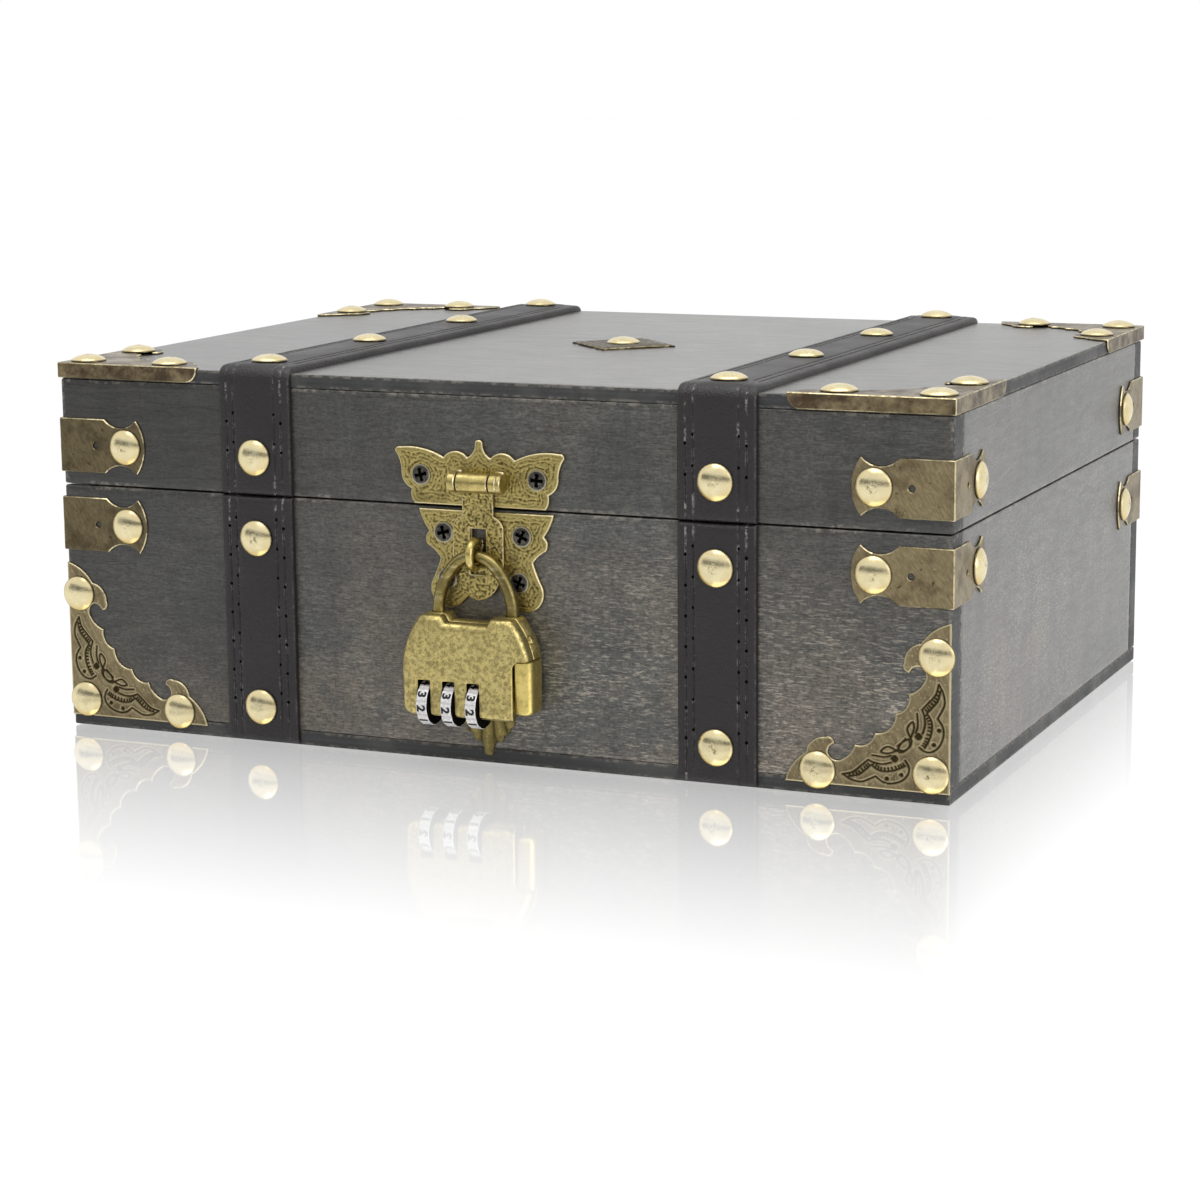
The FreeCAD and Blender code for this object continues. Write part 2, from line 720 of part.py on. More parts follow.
upper_foot = d.seam_height + d.seam_gap + d.hasp_upper_rise
upper_plate = new_body(
    "hasp_upper_plate_body",
    ("0", "-dims.box_depth / 2", "dims.seam_height + dims.seam_gap + dims.hasp_upper_rise"),
)
upper_half = steps(UPPER_PLATE_SHARES, d.hasp_upper_width / 2, d.hasp_upper_height)
pad_on(upper_plate, "hasp_upper_plate_pad", "XZ_Plane", curves(mirrored(upper_half)), "dims.hasp_thickness")
ear_radius = d.hasp_barrel_diameter / 2
ear_y = pin_y + half_depth
ear_z = pin_z - upper_foot
ear_outline = [
    (V(0, ear_z - ear_radius, 0), None, V(ear_y, ear_z - ear_radius, 0)),
    (V(ear_y, ear_z - ear_radius, 0), V(ear_y - ear_radius, ear_z, 0), V(ear_y, ear_z + ear_radius, 0)),
    (V(ear_y, ear_z + ear_radius, 0), None, V(0, ear_z + ear_radius, 0)),
    (V(0, ear_z + ear_radius, 0), None, V(0, ear_z - ear_radius, 0)),
]
ear_bore = ring(V(ear_y, ear_z, 0), d.hasp_pin_diameter / 2 + d.running_clearance)
ear_start = d.hasp_barrel_length / 2 + d.hasp_ear_gap
for side, sign in SIDES.items():
    drawn = curves(ear_outline) + [ear_bore]
    pad_on(upper_plate, f"hasp_ear_{side}", "YZ_Plane", drawn, "dims.hasp_ear_length",
           back=sign < 0, offset=sign * ear_start)
keep("hasp_upper_plate", upper_plate)
for sign in SIDES.values():
    fasten("hasp_upper_screws", hasp_screw, "front", sign * d.hasp_upper_screw_x,
           d.seam_height + d.hasp_upper_screw_rise, "hasp_upper_plate", "lid_front_wall")

lower_plate = new_body(
    "hasp_lower_plate_body",
    ("dims.hasp_lower_shift", "-dims.box_depth / 2", "dims.seam_height - dims.hasp_lower_drop"),
)
lower_half = steps(LOWER_PLATE_SHARES, d.hasp_lower_width / 2, -d.hasp_lower_height)
pad_on(lower_plate, "hasp_lower_plate_pad", "XZ_Plane", curves(mirrored(lower_half)), "dims.hasp_thickness")
keep("hasp_lower_plate", lower_plate)
for sign in SIDES.values():
    for x, drop in (
        (d.hasp_lower_screw_x, d.hasp_lower_screw_drop), (d.hasp_lobe_screw_x, d.hasp_lobe_screw_drop)
    ):
        fasten("hasp_lower_screws", hasp_screw, "front", sign * x + d.hasp_screw_shift, d.seam_height - drop,
               "hasp_lower_plate", "base_front_wall")

pin_start = V(-ear_start - d.hasp_ear_length, pin_y, pin_z)
pin_length = 2 * (ear_start + d.hasp_ear_length)
pin_shaft = rod("hasp_pin_shaft", "dims.hasp_pin_diameter / 2", pin_start, RIGHT, pin_length)
pin_head = rod("hasp_pin_head", "dims.hasp_barrel_diameter / 2",
               pin_start + RIGHT * pin_length, RIGHT, d.hasp_pin_head)
keep("hasp_pin", fuse("hasp_pin_blank", [pin_shaft, pin_head]))

flap = new_body("hasp_flap_body", V(0, flap_back, pin_z))
flap_half = steps(FLAP_SHARES, d.flap_width / 2, -d.flap_length)
slot_half = d.flap_slot_width / 2
slot_start = -d.flap_slot_start
slot_end = slot_start - d.flap_slot_length
slot = polygon([(-slot_half, slot_start), (slot_half, slot_start), (slot_half, slot_end), (-slot_half, slot_end)])
pad_on(flap, "hasp_flap_leaf", "XZ_Plane", curves(mirrored(flap_half)) + curves(slot), "dims.flap_thickness")
barrel_centre = V(-d.hasp_barrel_diameter / 2, 0, 0)
barrel = [
    ring(barrel_centre, d.hasp_barrel_diameter / 2),
    ring(barrel_centre, d.hasp_pin_diameter / 2 + d.running_clearance),
]
pad_on(flap, "hasp_flap_barrel", "YZ_Plane", barrel, "dims.hasp_barrel_length", middle=True)
keep("hasp_flap", flap)

# Staple: a ring on a flat foot that is set through the lower plate
staple_centre = V(0, shackle_y, crest_z + d.staple_bore / 2 - d.shackle_wire / 2 - d.shackle_hang_gap)
staple_ring = doc.addObject("Part::Torus", "staple_ring")
staple_ring.setExpression("Radius1", "(dims.staple_bore + dims.staple_wire) / 2")
staple_ring.setExpression("Radius2", "dims.staple_wire / 2")
staple_ring.Placement = FreeCAD.Placement(staple_centre, FreeCAD.Rotation(UP, RIGHT))
foot_half = V(d.staple_wire / 2, 0, d.staple_foot / 2)
foot_middle = V(0, -half_depth, staple_centre.z)
staple_foot = solid_block(
    "staple_foot", foot_middle - foot_half + FRONT * d.staple_foot_depth, foot_middle + foot_half
)
staple_reach = d.staple_bore + d.staple_wire
behind_wall = solid_block(
    "staple_behind_wall",
    foot_middle - V(staple_reach, 0, staple_reach),
    foot_middle + V(staple_reach, staple_reach, staple_reach),
)
keep("staple", cut("staple_blank", fuse("staple_whole", [staple_ring, staple_foot]), [behind_wall]))
foot_bottom = staple_centre.z - d.staple_foot / 2 - d.running_clearance
open_in("hasp_lower_plate", solid_block(
    "staple_slot",
    V(-slot_half, -half_depth, foot_bottom) + FRONT * (d.hasp_thickness + d.cut_overrun),
    V(slot_half, -half_depth, pin_z - d.flap_slot_start) - FRONT * d.cut_overrun,
))

# Leaf ornament on the front wall below the hasp
leaf = new_body("leaf_ornament_body", ("dims.leaf_shift", "-dims.box_depth / 2", "dims.leaf_rise"))
leaf_half = steps(LEAF_SHARES, d.leaf_width / 2, d.leaf_height)
pad_on(leaf, "leaf_ornament_pad", "XZ_Plane", curves(mirrored(leaf_half)), "dims.leaf_thickness")
keep("leaf_ornament", leaf)

# Two back hinges: leaves with knuckles, pins and screws
hinge_screw = screw_pattern("hinge_screw", "hinge_leaf_thickness")
knuckle_radius = d.hinge_knuckle_diameter / 2
knuckle_length = (d.hinge_width - 2 * d.hinge_knuckle_gap) / 3
outer_knuckle = knuckle_length + d.hinge_knuckle_gap
leaf_start = knuckle_radius + d.hinge_knuckle_gap


def knuckle_outline(way):
    """The side view of a knuckle with its foot on the leaf, which runs up or down from the axis."""
    centre = d.hinge_wall_gap + knuckle_radius
    lean = knuckle_radius / math.sqrt(2)
    far = centre + knuckle_radius
    thick = d.hinge_leaf_thickness
    outline = [
        (V(0, leaf_start, 0), None, V(0, 0, 0)),
        (V(0, 0, 0), None, V(d.hinge_wall_gap, 0, 0)),
        (V(d.hinge_wall_gap, 0, 0), V(centre, -knuckle_radius, 0), V(far, 0, 0)),
        (V(far, 0, 0), V(centre + lean, lean, 0), V(centre, knuckle_radius, 0)),
        (V(centre, knuckle_radius, 0), None, V(thick, knuckle_radius, 0)),
        (V(thick, knuckle_radius, 0), None, V(thick, leaf_start, 0)),
        (V(thick, leaf_start, 0), None, V(0, leaf_start, 0)),
    ]
    bore = ring(V(centre, 0, 0), d.hinge_pin_diameter / 2 + d.running_clearance)
    return curves(turned(outline, lambda p: V(p.x, way * p.y, 0))) + [bore]


def hinge_leaf(name, sign, way, knuckles):
    """One leaf on the back wall with its knuckles at the given places."""
    place = f"{sign} * dims.box_width * {HINGE_PLACE_SHARE}"
    base = (place, "dims.box_depth / 2", "dims.seam_height + dims.seam_gap / 2")
    body = new_body(f"{name}_body", base)
    half = d.hinge_width / 2
    drawn = curves(polygon([
        (-half, way * leaf_start), (half, way * leaf_start),
        (half, way * d.hinge_leaf_height), (-half, way * d.hinge_leaf_height),
    ]))
    pad_on(body, f"{name}_plate", "XZ_Plane", drawn, "dims.hinge_leaf_thickness", back=True)
    for index, place in enumerate(knuckles):
        pad_on(body, f"{name}_knuckle_{index}", "YZ_Plane", knuckle_outline(way),
               "(dims.hinge_width - 2 * dims.hinge_knuckle_gap) / 3", middle=True, offset=place)
    return body


hinge_leaves = {"base": [], "lid": []}
hinge_pins = []
for side, sign in SIDES.items():
    hinge_leaves["base"].append(hinge_leaf(f"hinge_base_{side}", sign, -1, (-outer_knuckle, outer_knuckle)))
    hinge_leaves["lid"].append(hinge_leaf(f"hinge_lid_{side}", sign, 1, (0.0,)))
    pin_from = V(sign * hinge_x - d.hinge_width / 2, hinge_y, hinge_z)
    hinge_pins.append(rod(f"hinge_pin_{side}", "dims.hinge_pin_diameter / 2", pin_from, RIGHT, d.hinge_width))
    for across in SIDES.values():
        x = sign * hinge_x + across * d.hinge_screw_x
        for story, way in (("base", -1), ("lid", 1)):
            z = hinge_z + way * d.hinge_screw_drop
            held = (f"hinge_{story}_leaves", f"{story}_back_wall")
            fasten(f"hinge_{story}_screws", hinge_screw, "back", x, z, *held)
for story, leaves in hinge_leaves.items():
    both = doc.addObject("Part::Compound", f"hinge_{story}_leaves_blank")
    both.Links = leaves
    keep(f"hinge_{story}_leaves", both)
both = doc.addObject("Part::Compound", "hinge_pins_blank")
both.Links = hinge_pins
keep("hinge_pins", both)

# Padlock shackle: two legs, leaning sides and a round crest
leg_x = d.shackle_span / 2
bow = d.shackle_bow_radius
side_turn = 2 * math.atan((leg_x - bow) / (d.shackle_rise - bow))
side_radius = bow + (d.shackle_rise - bow) / math.sin(side_turn)
bow_centre = -bow


def on_side(angle):
    """A point of the right side's arc, turned from the leg."""
    return V(leg_x - side_radius * (1 - math.cos(angle)), side_radius * math.sin(angle) - d.shackle_rise, 0)


def on_bow(angle):
    """A point of the crest's arc, turned from the right."""
    return V(bow * math.cos(angle), bow_centre + bow * math.sin(angle), 0)


right_half = [
    (V(leg_x, -d.shackle_rise - d.toe_depth, 0), None, V(leg_x, -d.shackle_rise, 0)),
    (on_side(0), on_side(side_turn / 2), on_side(side_turn)),
    (on_bow(side_turn), on_bow((side_turn + math.pi / 2) / 2), on_bow(math.pi / 2)),
]
left_half = backwards(turned(right_half, lambda p: V(-p.x, p.y, 0)))
heel_end = V(-leg_x, -d.shackle_rise - d.heel_depth, 0)
left_half[-1] = (left_half[-1][0], None, heel_end)
shackle_body = new_body("padlock_shackle_body", V(0, shackle_y, crest_z))
spine = sketch_on(shackle_body, "shackle_spine", "XZ_Plane", curves(backwards(right_half + left_half)))
wire_section = [ring(V(heel_end.x, 0, 0), d.shackle_wire / 2)]
section = sketch_on(shackle_body, "shackle_section", "XY_Plane", wire_section, heel_end.y)
pipe = shackle_body.newObject("PartDesign::AdditivePipe", "shackle_pipe")
pipe.Profile = section
pipe.Spine = (spine, [f"Edge{index + 1}" for index in range(len(right_half + left_half))])
keep("padlock_shackle", shackle_body)

# Retaining pin in the case and the groove that it rides in on the heel leg
retainer_x = -leg_x + d.shackle_wire / 2 - d.groove_depth + d.groove_clearance + d.retainer_diameter / 2
retainer_z = case_top - d.retainer_depth
retainer_from = V(retainer_x, dial_y, retainer_z)
keep("shackle_retaining_pin",
     rod("retainer_blank", "dims.retainer_diameter / 2", retainer_from, V(0, 1, 0), d.retainer_length))
groove_end = d.retainer_diameter / 2 + d.groove_clearance
open_in("padlock_shackle", solid_block(
    "shackle_groove",
    V(-leg_x + d.shackle_wire / 2 - d.groove_depth, shackle_y - d.shackle_wire,
      retainer_z - d.shackle_travel - groove_end),
    V(-leg_x + d.shackle_wire, shackle_y + d.shackle_wire, retainer_z + groove_end),
))


# Padlock case: front and back halves that meet on the dials' axis

def case_outline():
    """The padlock's front view: a recessed top, bowed shoulders and rounded lower corners."""
    wide = d.case_width / 2
    tall = d.case_height
    lip = d.case_recess_width / 2
    shoulder = V(d.case_top_width / 2, tall, 0)
    middle_shares = CASE_SHOULDER_SHARES["middle"]
    end_shares = CASE_SHOULDER_SHARES["end"]
    via = V(wide * middle_shares[0], tall * middle_shares[1], 0)
    end = V(wide * end_shares[0], tall * end_shares[1], 0)
    corner = d.case_corner_radius
    lean = corner / math.sqrt(2)
    recess = V(0, tall - d.case_recess_depth, 0)
    recess_end = V(lip - d.case_recess_depth / 2, recess.y, 0)
    half = [
        (recess, None, recess_end),
        (recess_end, None, V(lip, tall, 0)),
        (V(lip, tall, 0), None, shoulder),
        (shoulder, via, end),
        (end, None, V(wide, corner, 0)),
        (V(wide, corner, 0), V(wide - corner + lean, corner - lean, 0), V(wide - corner, 0, 0)),
        (V(wide - corner, 0, 0), None, V(0, 0, 0)),
    ]
    return mirrored(half)


def rounded_face(body, name, pad, radius, normal):
    """Rounds the edges of the padded face that looks along a normal."""
    doc.recompute()
    face = max(pad.Shape.Faces, key=lambda f: f.CenterOfMass.dot(normal))
    names = []
    for index, edge in enumerate(pad.Shape.Edges, start=1):
        if any(edge.isSame(other) for other in face.Edges):
            names.append(f"Edge{index}")
    fillet = body.newObject("PartDesign::Fillet", name)
    fillet.Base = (pad, names)
    fillet.setExpression("Radius", radius)
    return fillet


CASE_HALVES = {
    "front": (dial_y, "dims.dial_radius - dims.dial_proud", FRONT),
    "back": (case_back, "dims.case_thickness - dims.dial_radius + dims.dial_proud", -FRONT),
}
for half, (start, thickness, outward) in CASE_HALVES.items():
    label = f"padlock_{half}_case"
    body = new_body(f"{label}_body", V(0, start, case_bottom))
    pad = pad_on(body, f"{label}_pad", "XZ_Plane", curves(case_outline()), thickness)
    rounded_face(body, f"{label}_rounding", pad, "dims.case_edge_radius", outward)
    keep(label, body)
both_halves = ("padlock_front_case", "padlock_back_case")
for side, sign in SIDES.items():
    depth = d.toe_depth if side == "right" else d.heel_depth
    leg_hole = rod(
        f"leg_hole_{side}", "dims.shackle_wire / 2 + dims.leg_clearance",
        V(sign * leg_x, shackle_y, case_top - depth - d.leg_clearance), UP,
        depth + d.leg_clearance + d.cut_overrun,
    )
    for label in both_halves:
        open_in(label, leg_hole)
open_in("padlock_back_case", rod(
    "retainer_hole", "dims.retainer_diameter / 2 + dims.running_clearance",
    retainer_from - V(0, d.cut_overrun, 0), V(0, 1, 0), d.retainer_length + d.cut_overrun,
))
notch_shares = CASE_SHOULDER_SHARES["middle"]
notch_middle = V(d.case_width / 2 * notch_shares[0], dial_y, case_bottom + d.case_height * notch_shares[1])
notch_half = V(d.case_notch, 0, d.case_notch / 2)
open_in("padlock_back_case", solid_block(
    "reset_notch", notch_middle - notch_half, notch_middle + notch_half - FRONT * d.case_notch
))

# Dials on their spindle, with a pocket for each
DIAL_PLACES = {"left": -1, "middle": 0, "right": 1}
spindle_from = d.dial_middle_x - d.dial_pitch - d.dial_width / 2 - d.dial_clearance - d.spindle_seat
spindle_length = 2 * d.dial_pitch + d.dial_width + 2 * (d.dial_clearance + d.spindle_seat)
spindle_start = V(spindle_from, dial_y, dial_z)
keep("dial_spindle", rod("spindle_blank", "dims.spindle_diameter / 2", spindle_start, RIGHT, spindle_length))
spindle_groove = rod("spindle_groove", "dims.spindle_diameter / 2 + dims.running_clearance",
                     spindle_start, RIGHT, spindle_length)
for place, step in DIAL_PLACES.items():
    start = V(d.dial_middle_x + step * d.dial_pitch - d.dial_width / 2, dial_y, dial_z)
    disc = rod(f"dial_{place}_disc", "dims.dial_radius", start, RIGHT, d.dial_width)
    keep(f"dial_{place}", disc)
    open_in(f"dial_{place}", rod(f"dial_{place}_bore", "dims.dial_bore / 2",
                                 start - RIGHT * d.cut_overrun, RIGHT, d.dial_width + 2 * d.cut_overrun))
    pocket = rod(f"dial_{place}_pocket", "dims.dial_radius + dims.dial_clearance",
                 start - RIGHT * d.dial_clearance, RIGHT, d.dial_width + 2 * d.dial_clearance)
    for label in both_halves:
        open_in(label, pocket)
    window_low = V(start.x - d.dial_clearance, case_front - d.cut_overrun, dial_z)
    window_high = V(start.x + d.dial_width + d.dial_clearance, dial_y, case_bottom + d.dial_window_height)
    open_in("padlock_front_case", solid_block(f"dial_{place}_window", window_low, window_high))
for label in both_halves:
    open_in(label, spindle_groove)

# Release button with its guide tongue, and the room that both slide in
button_left = d.case_width / 2 - d.button_width
button_low = case_bottom + d.button_rise
button_high = button_low + d.button_height
button_back = case_back - d.button_inset - d.button_clearance
button = new_body("padlock_button_body", V(button_left, button_back, button_low))
wide = d.button_width
deep = d.case_thickness - d.button_inset - d.button_cover - 2 * d.button_clearance
bend = d.button_side_radius
bend_slack = bend - bend / math.sqrt(2)
button_plan = [
    (V(0, 0, 0), None, V(0, -deep, 0)),
    (V(0, -deep, 0), None, V(wide - bend, -deep, 0)),
    (V(wide - bend, -deep, 0), V(wide - bend_slack, bend_slack - deep, 0), V(wide, bend - deep, 0)),
    (V(wide, bend - deep, 0), None, V(wide, -bend, 0)),
    (V(wide, -bend, 0), V(wide - bend_slack, -bend_slack, 0), V(wide - bend, 0, 0)),
    (V(wide - bend, 0, 0), None, V(0, 0, 0)),
]
button_pad = pad_on(button, "button_pad", "XY_Plane", curves(button_plan), "dims.button_height")
rounded_face(button, "button_rounding", button_pad, "dims.button_edge_radius", -UP)
tongue_y = (case_back + dial_y) / 2
tongue_half = V(0, d.button_tongue_thickness / 2, d.button_tongue_height / 2)
tongue_middle = V(button_left, tongue_y, (button_low + button_high) / 2)
tongue = solid_block(
    "button_tongue", tongue_middle - tongue_half - RIGHT * d.button_tongue_length,
    tongue_middle + tongue_half + RIGHT * (d.button_width / 2),
)
keep("padlock_button", fuse("padlock_button_blank", [button, tongue]))
room = V(0, d.button_clearance, d.button_clearance)
sunk = RIGHT * (d.button_travel + d.button_clearance)
tongue_slot = solid_block(
    "button_tongue_slot", tongue_middle - tongue_half - room - RIGHT * d.button_tongue_length - sunk,
    tongue_middle + tongue_half + room + RIGHT * d.button_width,
)
slide_front = case_front + d.button_cover
button_room = solid_block(
    "button_room",
    V(button_left, slide_front, case_bottom - d.cut_overrun) - sunk,
    V(d.case_width, button_back + d.button_clearance, button_high + d.button_clearance),
)
window_side = d.case_width - button_left
window_top = d.button_rise + d.button_height + d.button_clearance + d.cut_overrun
corner = d.button_window_radius
corner_slack = corner - corner / math.sqrt(2)
window_outline = [
    (V(0, 0, 0), None, V(window_side, 0, 0)),
    (V(window_side, 0, 0), None, V(window_side, window_top, 0)),
    (V(window_side, window_top, 0), None, V(corner, window_top, 0)),
    (V(corner, window_top, 0), V(corner_slack, window_top - corner_slack, 0), V(0, window_top - corner, 0)),
    (V(0, window_top - corner, 0), None, V(0, 0, 0)),
]
window_back = slide_front + d.button_clearance
button_window = new_body(
    "button_window_body", V(button_left - d.button_clearance, window_back, case_bottom - d.cut_overrun)
)
window_depth = "dims.button_cover + dims.button_clearance + dims.cut_overrun"
pad_on(button_window, "button_window_pad", "XZ_Plane", curves(window_outline), window_depth)
for label in both_halves:
    open_in(label, button_room)
open_in("padlock_front_case", button_window)
open_in("padlock_back_case", tongue_slot)

# Fastener groups, and every piece with its cuts under its own label
for group, members in groups.items():
    together = doc.addObject("Part::Compound", f"{group}_group")
    together.Links = members
    keep(group, together)
nodes = {}
for label, shape in pieces.items():
    tools = cutters.get(label)
    node = cut(f"{label}_piece", shape, tools) if tools else shape
    node.Label = label
    nodes[label] = node
doc.recompute()

# Tests before anything is written
for feature in doc.Objects:
    if "Invalid" in feature.State or "Error" in feature.State:
        raise RuntimeError(f"{feature.Name} did not build: {feature.State}")
for label, node in nodes.items():
    if node.Shape.isNull() or not node.Shape.isValid() or not node.Shape.Solids:
        raise RuntimeError(f"{label} has no valid solid")

os.makedirs("parts", exist_ok=True)
for label, node in nodes.items():
    node.Shape.exportStep(f"parts/{label}.step")
    print(label, len(node.Shape.Solids), round(node.Shape.Volume, 2))
print(len(nodes), "nodes")
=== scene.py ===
import math

import bmesh
import bpy
import numpy as np
from bpy.props import FloatProperty, FloatVectorProperty, IntProperty, PointerProperty
from mathutils import Matrix, Vector, geometry, noise


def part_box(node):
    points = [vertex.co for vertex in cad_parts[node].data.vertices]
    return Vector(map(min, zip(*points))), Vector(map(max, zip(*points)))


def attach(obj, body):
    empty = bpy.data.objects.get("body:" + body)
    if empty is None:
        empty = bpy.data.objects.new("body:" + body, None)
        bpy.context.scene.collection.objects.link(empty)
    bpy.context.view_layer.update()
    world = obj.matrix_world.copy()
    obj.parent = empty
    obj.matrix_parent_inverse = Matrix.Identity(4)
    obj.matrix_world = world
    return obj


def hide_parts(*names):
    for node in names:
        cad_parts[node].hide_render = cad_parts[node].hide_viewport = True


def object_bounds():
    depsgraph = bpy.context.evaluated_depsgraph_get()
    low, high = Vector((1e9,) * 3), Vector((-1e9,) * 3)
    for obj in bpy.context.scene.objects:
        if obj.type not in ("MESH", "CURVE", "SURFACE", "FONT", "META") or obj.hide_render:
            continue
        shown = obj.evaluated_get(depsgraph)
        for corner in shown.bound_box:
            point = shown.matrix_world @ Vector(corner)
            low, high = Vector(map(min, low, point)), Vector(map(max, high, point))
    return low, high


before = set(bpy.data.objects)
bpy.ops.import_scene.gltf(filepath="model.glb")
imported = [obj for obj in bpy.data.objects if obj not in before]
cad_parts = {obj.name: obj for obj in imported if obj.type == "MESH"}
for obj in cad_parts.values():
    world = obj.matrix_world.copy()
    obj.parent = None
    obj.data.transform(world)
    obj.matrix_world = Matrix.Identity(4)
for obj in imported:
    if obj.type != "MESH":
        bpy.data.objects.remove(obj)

bl_info = {
    "name": "Treasure Chest Box",
    "version": (1, 0, 0),
    "blender": (4, 5, 0),
    "location": "View3D > Sidebar > Chest",
    "description": "Dresses the packed chest in stained wood, leather and antiqued brass",
    "category": "Object",
}

CAD_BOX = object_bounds()

MM = 0.001
MERGE = 0.000001
FLAT = math.radians(0.5)
# Least cosine between a face's normal and the way that it counts as facing
FACING = 0.999
SHARP = math.radians(32)
CHAMFERED = math.radians(40)
SKINNED = math.radians(40)
SUPPLE = math.radians(50)
ENGRAVED = math.radians(55)
CAST = math.radians(60)
# Faces with more corners than this are shaded flat
STRIP_CORNERS = 8
TINY = 1e-12
SMALL_HOLE = 2 * MM
HOLE_SLACK = 0.05 * MM
HOLE_REACH = 3 * MM
VARNISHED_SHINE = 0.2
WHITE = (1.0, 1.0, 1.0, 1.0)
FRONT = Vector((0, -1, 0))
UP = Vector((0, 0, 1))
RIGHT = Vector((1, 0, 0))

SIDES = ("left", "right")
ENDS = (("front", -1.0), ("back", 1.0))
CORNERS = [f"{end}_{side}" for end, _ in ENDS for side in SIDES]
DIAL_PLACES = ("left", "middle", "right")

# Boards: the way of the grain and the finish of the faces across it
BOARDS = {
    "base_front_wall": ("base", 0),
    "base_back_wall": ("base", 0),
    "base_left_wall": ("base", 1),
    "base_right_wall": ("base", 1),
    "base_bottom_panel": ("base", 0),
    "lid_front_wall": ("lid", 0),
    "lid_back_wall": ("lid", 0),
    "lid_left_wall": ("lid", 1),
    "lid_right_wall": ("lid", 1),
    "lid_top_panel": ("lid", 0),
}

# Strap section: distance in from the edge and height, in shares of the strap's thickness, and scuffing
STRAP_SECTION = (
    (0.00, 0.00, 0.2),
    (0.00, 0.50, 0.40),
    (0.10, 0.70, 0.52),
    (0.36, 0.80, 0.35),
    (0.84, 0.83, 0.1),
    (1.00, 0.825, 0.8),
    (1.09, 0.775, 1.0),
    (1.18, 0.83, 0.8),
    (1.40, 0.87, 0.05),
    (1.76, 0.87, 0.1),
    (1.92, 0.865, 0.7),
    (2.01, 0.81, 1.0),
    (2.10, 0.88, 0.7),
    (2.60, 0.95, 0.0),
    (3.40, 0.985, 0.0),
    (4.70, 1.00, 0.0),
)
# Creases: distance in from the edge and height in the same shares, and the shift of their
# stitches along them
CREASES = ((1.09, 0.765, 0.0), (2.01, 0.80, 0.29))
STRAP_END = ((0.0, 0.0), (0.0, 0.5), (0.14, 0.78), (0.36, 0.94), (0.72, 1.0))

# Dome tack: radius and height shares of the lathe line, from the rim up to the crown
TACK_LINE = (
    (0.90, 0.00),
    (0.97, 0.02),
    (1.00, 0.09),
    (0.995, 0.16),
    (0.965, 0.22),
    (0.91, 0.34),
    (0.82, 0.50),
    (0.70, 0.655),
    (0.56, 0.785),
    (0.41, 0.885),
    (0.25, 0.958),
    (0.11, 0.99),
    (0.045, 0.985),
    (0.0, 0.965),
)

# Engraving of the ornate plates, in shares of a leg: along the bottom and up, for the lower leg
ENGRAVED_LINES = (
    ((0.646, 0.071), (0.593, 0.043), (0.532, 0.035), (0.479, 0.057), (0.445, 0.075)),
    ((0.445, 0.075), (0.403, 0.046), (0.350, 0.039), (0.289, 0.060), (0.251, 0.099), (0.243, 0.143),
     (0.266, 0.183)),
    ((0.646, 0.071), (0.586, 0.087), (0.532, 0.131), (0.490, 0.169)),
    ((0.490, 0.169), (0.456, 0.156), (0.403, 0.150), (0.350, 0.165)),
    ((0.608, 0.060), (0.548, 0.076), (0.502, 0.112), (0.471, 0.140)),
    ((0.471, 0.140), (0.426, 0.112), (0.365, 0.110), (0.304, 0.130), (0.266, 0.151)),
    ((0.464, 0.198), (0.395, 0.193), (0.350, 0.205)),
    ((0.316, 0.236), (0.373, 0.256), (0.414, 0.224), (0.373, 0.216), (0.316, 0.236)),
    ((0.312, 0.265), (0.274, 0.297), (0.232, 0.311), (0.236, 0.272), (0.274, 0.240), (0.312, 0.244)),
    ((0.349, 0.188), (0.331, 0.206), (0.313, 0.188), (0.331, 0.170), (0.349, 0.188)),
)
ENGRAVED_HATCHES = (4, 5)
ENGRAVED_DOTS = ((0.376, 0.066), (0.289, 0.096), (0.331, 0.188))

DIGITS = "0123456789"

# Relief, in shares of its step: steps along the outline, between rows and from the outline,
# and what lies on it
BORDER_STEP = 1.3
ROW_STEP = 0.866
BORDER_GAP = 0.6
ON_BORDER = 0.05
SKIN_DEPTH = 0.2 * MM
RELIEF_MARKS = ("relief", "rim", "ink")

# Inputs of the Geometry Nodes tree that sets out tacks, screws and stitches
SET_OUT_INPUTS = {
    "Geometry": "NodeSocketGeometry",
    "Template": "NodeSocketObject",
    "Size Spread": "NodeSocketFloat",
    "Turn Spread": "NodeSocketFloat",
    "Seed": "NodeSocketInt",
    "Finish": "NodeSocketMaterial",
}


# Settings


def colour_setting(name, description, default):
    return FloatVectorProperty(
        name=name, description=description, subtype="COLOR", size=3, default=default, min=0.0, max=1.0)


def length_setting(name, description, default, least):
    return FloatProperty(name=name, description=description, unit="LENGTH", default=default, min=least)


def angle_setting(name, description, degrees):
    return FloatProperty(name=name, description=description, subtype="ANGLE", default=math.radians(degrees))


class ChestWoodSettings(bpy.types.PropertyGroup):
    """Stained boards and their worn edges."""

    tone: colour_setting("Stain", "Middle tone of the stained wood", (0.085, 0.086, 0.078))
    deep: colour_setting("Deep Grain", "Colour of the dark grain and pores", (0.024, 0.024, 0.024))
    fleck: colour_setting("Fleck", "Colour of the pale flecks and worn edges", (0.400, 0.355, 0.290))
    brown: colour_setting("Brown", "Colour of the warmer patches low on the boards", (0.145, 0.121, 0.092))
    edge: colour_setting("Board Edge", "Colour of the cut board edges", (0.040, 0.042, 0.044))
    rounding: length_setting("Edge Round", "Radius of the boards' edges", 0.0006, 0.0001)
    wear: length_setting("Wear Width", "Width of the worn band along the edges", 0.0018, 0.0001)


